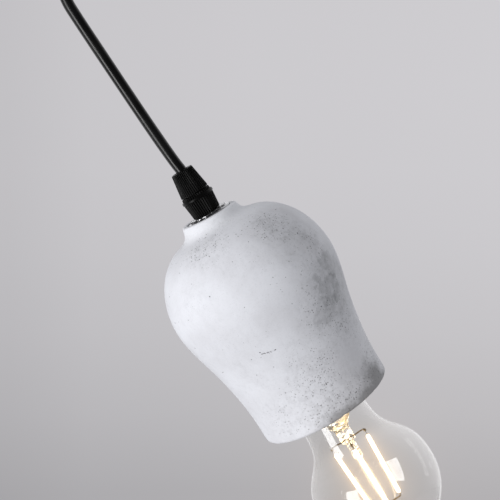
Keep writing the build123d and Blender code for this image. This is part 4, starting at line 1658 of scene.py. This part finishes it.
@dataclass
class ConcreteShade:
    """The cast shade, with pits and chips left by the mould and a collar that isn't quite level."""

    steps: int = 220
    cell: float = 1.2 * MM
    wave: float = 0.10 * MM
    broad_waves: float = 28.0
    fine_waves: float = 110.0
    fine_share: float = 0.5
    lip_fall: float = 1.5 * MM
    lip_radius: float = 13.2 * MM
    lip_inside: float = 11.6 * MM
    lip_depth: float = 9.0 * MM
    recess_depth: float = 1.9 * MM
    rim_zone: float = 2.4 * MM
    chip_waves: float = 330.0
    chip_shift: tuple[float, ...] = (3.1, 0.0, 0.0)
    chip_from: float = 0.34
    chip_growth: float = 3.0 * MM
    chip_most: float = 0.75 * MM
    seed: int = 11
    clusters: tuple[PitCluster, ...] = (
        PitCluster(-27, 9.8 * MM, 9.5 * MM, 1.5 * MM, 90),
        PitCluster(41, 14.2 * MM, 6.0 * MM, 2.6 * MM, 84),
        PitCluster(16, 32.0 * MM, 4.0 * MM, 8.0 * MM, 8),
        PitCluster(35, 62.0 * MM, 5.0 * MM, 10.0 * MM, 30),
        PitCluster(-12.5, 60.8 * MM, 2.6 * MM, 0.2 * MM, 9),
        PitCluster(-3, 78.0 * MM, 7.0 * MM, 6.0 * MM, 40),
        PitCluster(14, 86.0 * MM, 5.0 * MM, 6.0 * MM, 18),
        PitCluster(5, 98.0 * MM, 13.0 * MM, 3.0 * MM, 120),
        PitCluster(60, 96.0 * MM, 6.0 * MM, 4.0 * MM, 44),
        PitCluster(150, 60.0 * MM, 14.0 * MM, 12.0 * MM, 50),
        PitCluster(205, 96.0 * MM, 18.0 * MM, 4.0 * MM, 60),
        PitCluster(250, 24.0 * MM, 14.0 * MM, 6.0 * MM, 40),
    )
    strays: int = 70
    pit_widths: tuple[float, ...] = (0.22 * MM, 0.30 * MM, 0.40 * MM, 0.60 * MM)
    pit_shares: tuple[float, ...] = (0.48, 0.34, 0.15, 0.03)
    pit_border: float = 0.10 * MM
    pit_wall: float = 0.03 * MM
    pit_depth: float = 0.32 * MM
    pit_fit: float = 0.9
    side_facing: float = 0.25

    def spots(self, outside: list[bmesh.types.BMFace], top: float) -> list[bmesh.types.BMFace]:
        """Pick the faces that get a pit.

        Args:
            outside: Faces on the outside of the shade.
            top: Height of its collar.

        Returns:
            The picked faces, each once.
        """
        rng = random.Random(self.seed)
        radii: dict[int, float] = {}
        tree = kdtree.KDTree(len(outside))
        for number, face in enumerate(outside):
            middle = face.calc_center_median()
            row = round(middle.z / MM)
            radii[row] = max(radii.get(row, 0.0), middle.xy.length)
            tree.insert(middle, number)
        tree.balance()
        aims = []
        for cluster in self.clusters:
            for _ in range(cluster.count):
                height = top - cluster.drop + rng.gauss(0.0, cluster.along)
                radius = radii.get(round(height / MM))
                if radius:
                    turn = math.radians(cluster.turn) + rng.gauss(0.0, cluster.across) / radius
                    aims.append((radius, turn, height))
        for _ in range(self.strays):
            row = rng.choice(sorted(radii))
            aims.append((radii[row], rng.uniform(0.0, math.tau), row * MM))
        places = [
            Vector((radius * math.sin(turn), -radius * math.cos(turn), height))
            for radius, turn, height in aims
        ]
        return list(dict.fromkeys(outside[tree.find(place)[1]] for place in places))

    def pock(self, bm: bmesh.types.BMesh, top: float) -> None:
        """Sink small round pits into the outside.

        Args:
            bm: The shade.
            top: Height of its collar.
        """
        rng = random.Random(self.seed)
        below = top - self.lip_depth / 2
        outside = [
            f for f in bm.faces if f.calc_center_median().z < below and outward(f) > self.side_facing
        ]
        picked = self.spots(outside, top)
        bmesh.ops.inset_individual(
            bm, faces=picked, thickness=self.pit_border, depth=0.0, use_even_offset=True
        )
        for f in picked:
            side = min(e.calc_length() for e in f.edges)
            width = rng.choices(self.pit_widths, weights=self.pit_shares)[0]
            radius = min(width, self.pit_fit * side) / 2
            for e in f.edges[:]:
                bmesh.utils.edge_split(e, e.verts[0], 0.5)
            middle, facing = f.calc_center_median(), f.normal.copy()
            ring = f.verts[:]
            first = max(range(len(ring)), key=lambda k: ring[k].co.z)
            spoke = (ring[first].co - middle).normalized() * radius
            for number, v in enumerate(ring[first:] + ring[:first]):
                v.co = middle + Matrix.Rotation(math.tau * number / len(ring), 3, facing) @ spoke
        walls = bmesh.ops.inset_individual(
            bm, faces=picked, thickness=self.pit_wall, depth=-self.pit_depth, use_even_offset=True
        )["faces"]
        # The pits' walls and floors take the second material, which paints the shade inside them
        for f in picked + walls:
            f.material_index = 1

    def weather(self, bm: bmesh.types.BMesh, top: float, bottom: float) -> None:
        """Make the surface slightly uneven, let the collar fall to one side and chip the rim.

        Args:
            bm: The shade.
            top: Height of its collar.
            bottom: Height of its rim.
        """
        shift = Vector(self.chip_shift)
        for v in bm.verts:
            uneven = noise.noise(v.co * self.broad_waves)
            uneven += self.fine_share * noise.noise(v.co * self.fine_waves)
            v.co += v.normal * self.wave * uneven
            depth = self.lip_depth if v.co.xy.length > self.lip_inside else self.recess_depth
            lift = eased(1 - (top - v.co.z) / depth)
            aside = held(0.5 + 0.5 * v.co.x / self.lip_radius)
            v.co.z -= self.lip_fall * lift * aside
            above = v.co.z - bottom
            if above < self.rim_zone:
                chip = max(0.0, noise.noise(v.co * self.chip_waves + shift) - self.chip_from)
                v.co.z += min(self.chip_most, chip * self.chip_growth) * (1 - above / self.rim_zone)

    def build(self, palette: Palette) -> None:
        """Cast the shade and finish its surface.

        Args:
            palette: The light's materials.
        """
        outline = refine(seam_outline("concrete_shade"), self.cell, closed=True)
        bottom, top = min(z for _, z in outline), max(z for _, z in outline)
        bm = lathe(outline, self.steps, closed=True)
        self.weather(bm, top, bottom)
        bm.normal_update()
        self.pock(bm, top)
        place_piece(
            "shade_casting",
            bm,
            Body.LAMP,
            [palette.concrete, palette.pit],
            "concrete_shade",
            sharp=50,
        )


@dataclass
class LampHolder:
    """The screw-cap lamp holder inside the shade."""

    steps: int = 96
    cell: float = 2.0 * MM
    edge: float = 0.35 * MM
    node_edge: float = 0.15 * MM
    thread: Thread = Thread(14.2 * MM, 0.35 * MM, 3.62 * MM, 0.3 * MM, 72)

    def build(self, palette: Palette) -> None:
        """Make and dress the holder's parts.

        Args:
            palette: The light's materials.
        """
        for node in ("holder_cap", "holder_skirt"):
            bm = lathe(refine(seam_outline(node), self.cell, closed=True), self.steps, closed=True)
            soften(bm, self.edge)
            place_piece(
                f"{node}_finished", bm, Body.LAMP, [palette.resin], node, sharp=35
            )
        for node, slot, material in (
            ("holder_core", Slot.WHITE_CERAMIC, palette.ceramic),
            ("holder_terminals", Slot.BRASS, palette.brass),
            ("holder_contact", Slot.BRASS, palette.brass),
        ):
            finish_node(node, self.node_edge, Body.LAMP, material)
        low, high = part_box("holder_screw_shell")
        place_piece(
            "holder_shell_threaded",
            self.thread.roll(low.z, high.z),
            Body.LAMP,
            [palette.brass],
            "holder_screw_shell",
        )


@dataclass
class Bulb:
    """The clear filament bulb, lit."""

    glass_steps: int = 144
    glass_cell: float = 0.9 * MM
    stem_steps: int = 64
    pinch_top: float = -292.5 * MM
    pinch_bottom: float = -297.2 * MM
    pinch_into: float = 5.0 * MM
    pinch_out: float = 0.6 * MM
    pinch_flat: float = 0.55
    rod_bottom: float = -307.2 * MM
    rod_hold: float = 2.0 * MM
    count: int = 4
    filament_top: float = -296.55 * MM
    filament_foot: float = -332.55 * MM
    top_at: float = 8.8 * MM
    foot_at: float = 7.23 * MM
    filament_radius: float = 0.85 * MM
    filament_steps: int = 24
    filament_end: tuple[tuple[float, float], ...] = (
        (0.0, 0.0), (0.6, 0.0), (0.9, 0.25 * MM), (1.0, 0.7 * MM),
    )
    tab: float = 3.0 * MM
    foot_tab: float = 1.4 * MM
    tab_hold: float = 0.6 * MM
    tab_thickness: float = 0.4 * MM
    tab_width: float = 1.1 * MM
    wire: float = 0.35 * MM
    wire_sides: int = 12
    crimp: float = 0.75 * MM
    thread: Thread = Thread(13.1 * MM, 0.55 * MM, 3.62 * MM, 0.4 * MM, 72)
    cap_plain: float = 3.0 * MM
    cap_step: float = 0.5 * MM
    cap_hole: float = 0.5 * MM
    cap_shoulder: float = 10.5 * MM
    contact_edge: float = 0.15 * MM
    contact_ease: float = 0.985

    def glass(self) -> bmesh.types.BMesh:
        """Turn the blown glass, wall and all."""
        outline = refine(seam_outline("bulb_glass"), self.glass_cell, closed=False)
        return lathe(outline, self.glass_steps, closed=False)

    def stem(self) -> bmesh.types.BMesh:
        """Turn the stem and press its pinch flat.

        Returns:
            The stem.
        """
        outline = refine(seam_outline("bulb_stem"), self.glass_cell, closed=False)
        bm = lathe(outline, self.stem_steps, closed=False)
        for v in bm.verts:
            into = eased((self.pinch_top + self.pinch_into - v.co.z) / self.pinch_into)
            out = held((v.co.z - self.pinch_bottom + self.pinch_out) / self.pinch_out)
            v.co.y *= 1 - into * out * (1 - self.pinch_flat)
        bmesh.ops.recalc_face_normals(bm, faces=bm.faces[:])
        return bm

    def filament(self, turn: Matrix) -> bmesh.types.BMesh:
        """Make one filament rod with a metal tab at each end.

        Args:
            turn: The turn from the first filament to this one.

        Returns:
            The filament in place, its tabs on the second material.
        """
        top = Vector((self.top_at, 0, self.filament_top))
        foot = Vector((self.foot_at, 0, self.filament_foot))
        length = (foot - top).length
        radius = self.filament_radius
        start, end = self.tab, length - self.foot_tab
        outline = [(share * radius, start + inwards) for share, inwards in self.filament_end]
        outline += [(share * radius, end - inwards) for share, inwards in reversed(self.filament_end)]
        bm = lathe(outline, self.filament_steps, closed=False)
        for low, high in ((0.0, start + self.tab_hold), (end - self.tab_hold, length)):
            size = Matrix.Diagonal((self.tab_thickness, self.tab_width, high - low, 1.0))
            middle = Matrix.Translation((0, 0, (low + high) / 2))
            tab = bmesh.ops.create_cube(bm, size=1.0, matrix=middle @ size)
            for f in dict.fromkeys(f for v in tab["verts"] for f in v.link_faces):
                f.material_index = 1
        lean = Vector((0, 0, 1)).rotation_difference(foot - top).to_matrix().to_4x4()
        place = turn.to_4x4() @ Matrix.Translation(top) @ lean
        bmesh.ops.transform(bm, matrix=place, verts=bm.verts[:])
        return bm

    def turns(self) -> list[Matrix]:
        """List the turns from the first filament to each of them."""
        return [Matrix.Rotation(math.tau * number / self.count, 3, "Z") for number in range(self.count)]

    def leads(self) -> bmesh.types.BMesh:
        """Draw the wires from the pinch to the filaments' tops.

        Returns:
            The wires, with a crimp at each filament.
        """
        bm = bmesh.new()
        path = (
            Vector((1.2 * MM, 0, self.pinch_bottom + 1.4 * MM)),
            Vector((3.6 * MM, 0, self.filament_top + 0.3 * MM)),
            Vector((6.5 * MM, 0, self.filament_top + 0.5 * MM)),
            Vector((self.top_at, 0, self.filament_top + 0.4 * MM)),
            Vector((self.top_at, 0, self.filament_top - 1.2 * MM)),
        )
        crimp = Vector((self.top_at, 0, self.filament_top - 0.3 * MM))
        for turn in self.turns():
            sweep(bm, [turn @ point for point in path], self.wire, self.wire_sides)
            place = Matrix.Translation(turn @ crimp)
            bmesh.ops.create_icosphere(bm, subdivisions=2, radius=self.crimp, matrix=place)
        return bm

    def spider(self) -> bmesh.types.BMesh:
        """Draw the wire that hangs from the rod and its arms to the filaments' feet.

        Returns:
            The wires.
        """
        bm = bmesh.new()
        low = self.filament_foot - 0.4 * MM
        hanger = [Vector((0, 0, self.rod_bottom + self.rod_hold)), Vector((0, 0, low))]
        arm = (
            Vector((0, 0, low)),
            Vector((self.foot_at - 0.6 * MM, 0, low)),
            Vector((self.foot_at, 0, low + 0.5 * MM)),
            Vector((self.foot_at, 0, low + 1.4 * MM)),
        )
        sweep(bm, hanger, self.wire, self.wire_sides)
        for turn in self.turns():
            sweep(bm, [turn @ point for point in arm], self.wire, self.wire_sides)
        return bm

    def cap(self) -> bmesh.types.BMesh:
        """Roll the threaded cap, open at the foot and closed by a shoulder at the top.

        Returns:
            The cap.
        """
        low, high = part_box("bulb_cap")
        crest, wall = self.thread.radius, self.thread.wall
        outer, inner = crest - self.cap_step, crest - self.cap_step - wall
        top, foot = high.z - self.cap_plain, low.z + self.cap_plain
        shoulder = [
            (outer, top + 0.2 * MM),
            (outer, top - 0.5 * MM),
            (inner, top - 0.5 * MM),
            (inner, top),
            (self.cap_shoulder - wall, high.z - wall),
            (self.cap_hole, high.z - wall),
            (self.cap_hole, high.z),
            (self.cap_shoulder, high.z),
        ]
        skirt = [
            (crest, low.z),
            (crest, foot - 0.4 * MM),
            (outer, foot + 0.4 * MM),
            (inner, foot + 0.4 * MM),
            (crest - wall, foot - 0.4 * MM),
            (crest - wall, low.z),
        ]
        bm = self.thread.roll(foot, top)
        for outline in (shoulder, skirt):
            part = lathe(outline, self.thread.steps, closed=True)
            mesh = bpy.data.meshes.new("cap_part")
            part.to_mesh(mesh)
            part.free()
            bm.from_mesh(mesh)
            bpy.data.meshes.remove(mesh)
        return bm

    def contact(self) -> bmesh.types.BMesh:
        """Round the end contact and keep it a hair clear of the insulator round it.

        Returns:
            The contact.
        """
        bm = reworked("bulb_contact", self.contact_edge)
        low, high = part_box("bulb_contact")
        middle = Matrix.Translation(-(low + high) / 2)
        bmesh.ops.scale(bm, vec=Vector((1, 1, 1)) * self.contact_ease, space=middle, verts=bm.verts[:])
        return bm

    def build(self, palette: Palette) -> None:
        """Make and dress the bulb's parts.

        Args:
            palette: The light's materials.
        """
        for name, bm, material, node in (
            ("bulb_envelope", self.glass(), palette.glass, "bulb_glass"),
            ("bulb_stem_pressed", self.stem(), palette.stem_glass, "bulb_stem"),
        ):
            place_piece(name, bm, Body.BULB, [material], node, sharp=60)
        for number, turn in enumerate(self.turns(), 1):
            place_piece(
                f"filament_rod_{number}",
                self.filament(turn),
                Body.BULB,
                [palette.filament, palette.zinc],
                f"filament_{number}",
            )
        for name, bm, node in (
            ("filament_lead_wires", self.leads(), "filament_leads"),
            ("filament_foot_wires", self.spider(), "filament_spider"),
        ):
            place_piece(name, bm, Body.BULB, [palette.lead], node)
        place_piece(
            "bulb_cap_rolled", self.cap(), Body.BULB, [palette.nickel], "bulb_cap"
        )
        place_piece(
            "bulb_contact_pressed",
            self.contact(),
            Body.BULB_TIP,
            [palette.brass],
            "bulb_contact",
        )
        dress_node("bulb_insulator", palette.resin)


# Studio


class Reach(Enum):
    """What a softbox lights."""

    EVERYTHING = "everything"
    MATT = "matt surfaces"


@dataclass(frozen=True)
class Softbox:
    """A soft light panel, aimed at the shade."""

    name: str
    direction: tuple[float, float, float]
    width: float
    height: float
    watts: float
    reach: Reach
    distance: float = 1.1

    def build(self, target: Vector) -> None:
        """Hang the panel.

        Args:
            target: The point it is aimed at.
        """
        light = bpy.data.lights.new(self.name, "AREA")
        light.shape = "RECTANGLE"
        light.size, light.size_y = self.width, self.height
        light.energy = self.watts
        away = Vector(self.direction).normalized()
        panel = bpy.data.objects.new(self.name, light)
        panel.location = target + away * self.distance
        panel.rotation_mode = "QUATERNION"
        panel.rotation_quaternion = away.to_track_quat("Z", "Y")
        panel.visible_camera = False
        panel.visible_glossy = panel.visible_transmission = self.reach is Reach.EVERYTHING
        bpy.context.scene.collection.objects.link(panel)


@dataclass
class Studio:
    """The camera, the soft lights, the pale surround and the floor."""

    eye: Vector = field(default_factory=lambda: Vector((7.44, -556.94, -114.97)) * MM)
    lens: float = 90.05
    sensor: float = 36.0
    clip: tuple[float, float] = (0.01, 50.0)
    dip: float = math.radians(8.406)
    roll: float = math.radians(31.736)
    target: Vector = field(default_factory=lambda: Vector((0, 0, -230)) * MM)
    ambient: float = 0.51
    dark_front: float = 0.045
    bright_back: float = 1.15
    room_tint: tuple[float, ...] = (1.0, 1.0, 1.02, 1.0)
    glow: dict[str, float | tuple[float, ...]] = field(
        default_factory=lambda: {
            "Threshold": 1.3,
            "Smoothness": 0.3,
            "Strength": 1.0,
            "Size": 0.6,
            "Tint": (1.0, 0.78, 0.5, 1.0),
        }
    )
    floor_z: float = -2.0
    floor_radius: float = 2.5
    floor_full: float = 1.2
    floor_sides: int = 96
    floor_grey: tuple[float, ...] = (0.74, 0.74, 0.75, 1.0)
    floor_pale: tuple[float, ...] = (0.78, 0.78, 0.79, 1.0)
    surround: tuple[tuple[float, float], ...] = (
        (0.0, 0.429),
        (0.163, 0.497),
        (0.332, 0.546),
        (0.5, 0.578),
        (0.668, 0.597),
        (0.84, 0.604),
        (1.0, 0.604),
    )
    surround_span: float = 0.19
    surround_tint: tuple[float, ...] = (1.018, 1.0, 1.038)
    left_fade: tuple[tuple[float, float], ...] = (
        (0.0, 0.885),
        (0.163, 0.95),
        (0.332, 0.965),
        (0.5, 0.985),
        (0.668, 0.99),
        (0.84, 1.0),
        (1.0, 1.01),
    )
    panels: tuple[Softbox, ...] = (
        Softbox("left_softbox", (-0.752, -0.659, 0.11), 0.46, 0.8, 9.2, Reach.EVERYTHING),
        Softbox("top_softbox", (-0.30, -0.25, 0.92), 0.9, 0.9, 3.4, Reach.MATT),
        Softbox("back_softbox", (0.766, 0.643, 0.0), 0.7, 0.9, 2.6, Reach.MATT),
    )

    def axes(self) -> tuple[Vector, Vector, Vector]:
        """Work out the camera's directions.

        Returns:
            The directions to its right, upwards and forwards.
        """
        forward = Vector((0, math.cos(self.dip), -math.sin(self.dip)))
        upright = Vector((0, math.sin(self.dip), math.cos(self.dip)))
        side = Vector((1, 0, 0))
        right = side * math.cos(self.roll) - upright * math.sin(self.roll)
        up = side * math.sin(self.roll) + upright * math.cos(self.roll)
        return right, up, forward

    def camera(self) -> None:
        """Set up the camera where the photograph was taken from."""
        right, up, forward = self.axes()
        data = bpy.data.cameras.new("camera")
        data.lens, data.sensor_width = self.lens, self.sensor
        data.clip_start, data.clip_end = self.clip
        camera = bpy.data.objects.new("camera", data)
        turn = Matrix((right, up, -forward)).transposed().to_4x4()
        camera.matrix_world = Matrix.Translation(self.eye) @ turn
        bpy.context.scene.collection.objects.link(camera)
        bpy.context.scene.camera = camera

    def tones(
        self,
        bench: NodeBench,
        way: bpy.types.NodeSocket,
        axis: Vector,
        stops: Sequence[tuple[float, float]],
        tint: tuple[float, ...],
    ) -> bpy.types.NodeSocket:
        """Grade a tone along one direction of the picture.

        Args:
            bench: The surround's node tree.
            way: Direction of the view.
            axis: Direction along which the tone changes.
            stops: Place from 0 to 1 across the picture, and the tone there.
            tint: Colour that the tones are multiplied by.

        Returns:
            The graded colour.
        """
        along = bench.vector("DOT_PRODUCT", way, tuple(axis)).outputs["Value"]
        feeds = {"Value": along, "From Min": -self.surround_span, "From Max": self.surround_span}
        ramp = bench.add("ValToRGB", {0: bench.add("MapRange", feeds).outputs[0]})
        elements = ramp.color_ramp.elements
        while len(elements) < len(stops):
            elements.new(0.5)
        for element, (at, tone) in zip(elements, stops):
            element.position = at
            element.color = (*(tone * part for part in tint), 1.0)
        return ramp.outputs[0]

    def backdrop(self) -> None:
        """Set up the pale surround, a little darker towards the picture's foot."""
        world = bpy.data.worlds.new("pale_surround")
        world.use_nodes = True
        bench = NodeBench(world.node_tree)
        way = bench.add("TexCoord").outputs["Generated"]
        right, up, _ = self.axes()
        rise = self.tones(bench, way, up, self.surround, self.surround_tint)
        fade = self.tones(bench, way, right, self.left_fade, (1.0, 1.0, 1.0))
        seen = bench.add("Background", {"Color": bench.mix(1.0, rise, fade, "MULTIPLY")})
        depth = bench.vector("DOT_PRODUCT", way, (0.0, 1.0, 0.0)).outputs["Value"]
        strength = bench.span(depth, -0.5, 0.7, self.dark_front, self.bright_back)
        mirrored = bench.add("Background", {"Color": self.room_tint, "Strength": strength})
        glow = bench.add("Background", {"Color": self.room_tint, "Strength": self.ambient})
        path = bench.add("LightPath")
        camera_ray, glossy_ray = path.outputs["Is Camera Ray"], path.outputs["Is Glossy Ray"]
        direct = bench.math("MAXIMUM", camera_ray, path.outputs["Is Transmission Ray"])
        spread = bench.add("MixShader", {0: glossy_ray, 1: glow.outputs[0], 2: mirrored.outputs[0]})
        both = bench.add("MixShader", {0: direct, 1: spread.outputs[0], 2: seen.outputs[0]})
        bench.add("OutputWorld", {"Surface": both.outputs[0]})
        bpy.context.scene.world = world

    def floor(self) -> None:
        """Lay a pale round floor that fades out at its edge."""
        bm = bmesh.new()
        place = Matrix.Translation((0, 0, self.floor_z))
        bmesh.ops.create_circle(
            bm, cap_ends=True, segments=self.floor_sides, radius=self.floor_radius, matrix=place
        )
        mesh = bpy.data.meshes.new("floor")
        bm.to_mesh(mesh)
        bm.free()
        paint = Paintwork("pale_floor")
        tone = paint.noise(paint.place, 3.0, 4.0, 0.5)
        radius = paint.radius(paint.place)
        mesh.materials.append(paint.finish({
            "Base Color": paint.mix(tone, self.floor_grey, self.floor_pale),
            "Roughness": 0.7,
            "Alpha": paint.span(radius, self.floor_full, self.floor_radius, 1.0, 0.0),
        }))
        floor = bpy.data.objects.new("floor", mesh)
        bpy.context.scene.collection.objects.link(floor)

    def bloom(self) -> None:
        """Let the lit filaments bloom a little in the lens."""
        scene = bpy.context.scene
        scene.use_nodes = True
        tree = scene.node_tree
        tree.nodes.clear()
        layers = tree.nodes.new("CompositorNodeRLayers")
        glare = tree.nodes.new("CompositorNodeGlare")
        glare.glare_type = "BLOOM"
        for name, value in self.glow.items():
            glare.inputs[name].default_value = value
        picture = tree.nodes.new("CompositorNodeComposite")
        tree.links.new(layers.outputs["Image"], glare.inputs["Image"])
        tree.links.new(glare.outputs["Image"], picture.inputs["Image"])

    def build(self) -> None:
        """Set up the whole studio."""
        self.camera()
        self.backdrop()
        self.floor()
        for panel in self.panels:
            panel.build(self.target)
        self.bloom()
        bpy.context.scene.view_settings.view_transform = "Standard"


def main() -> None:
    """Build the studio and the light, piece by piece."""
    logging.basicConfig(level=logging.INFO, format="%(name)s %(message)s")
    Studio().build()
    palette = Palette()
    CordRun().build(palette)
    Canopy().build(palette)
    CordGrip("canopy", -26.0 * MM, Pointing.DOWN, Body.CEILING, Body.CANOPY_NUT).build(palette)
    CordGrip("lamp", -172.7 * MM, Pointing.UP, Body.LAMP, Body.LAMP_NUT).build(palette)
    SeatHardware().build(palette)
    ConcreteShade().build(palette)
    LampHolder().build(palette)
    Bulb().build(palette)


if __name__ == "__main__":
    main()
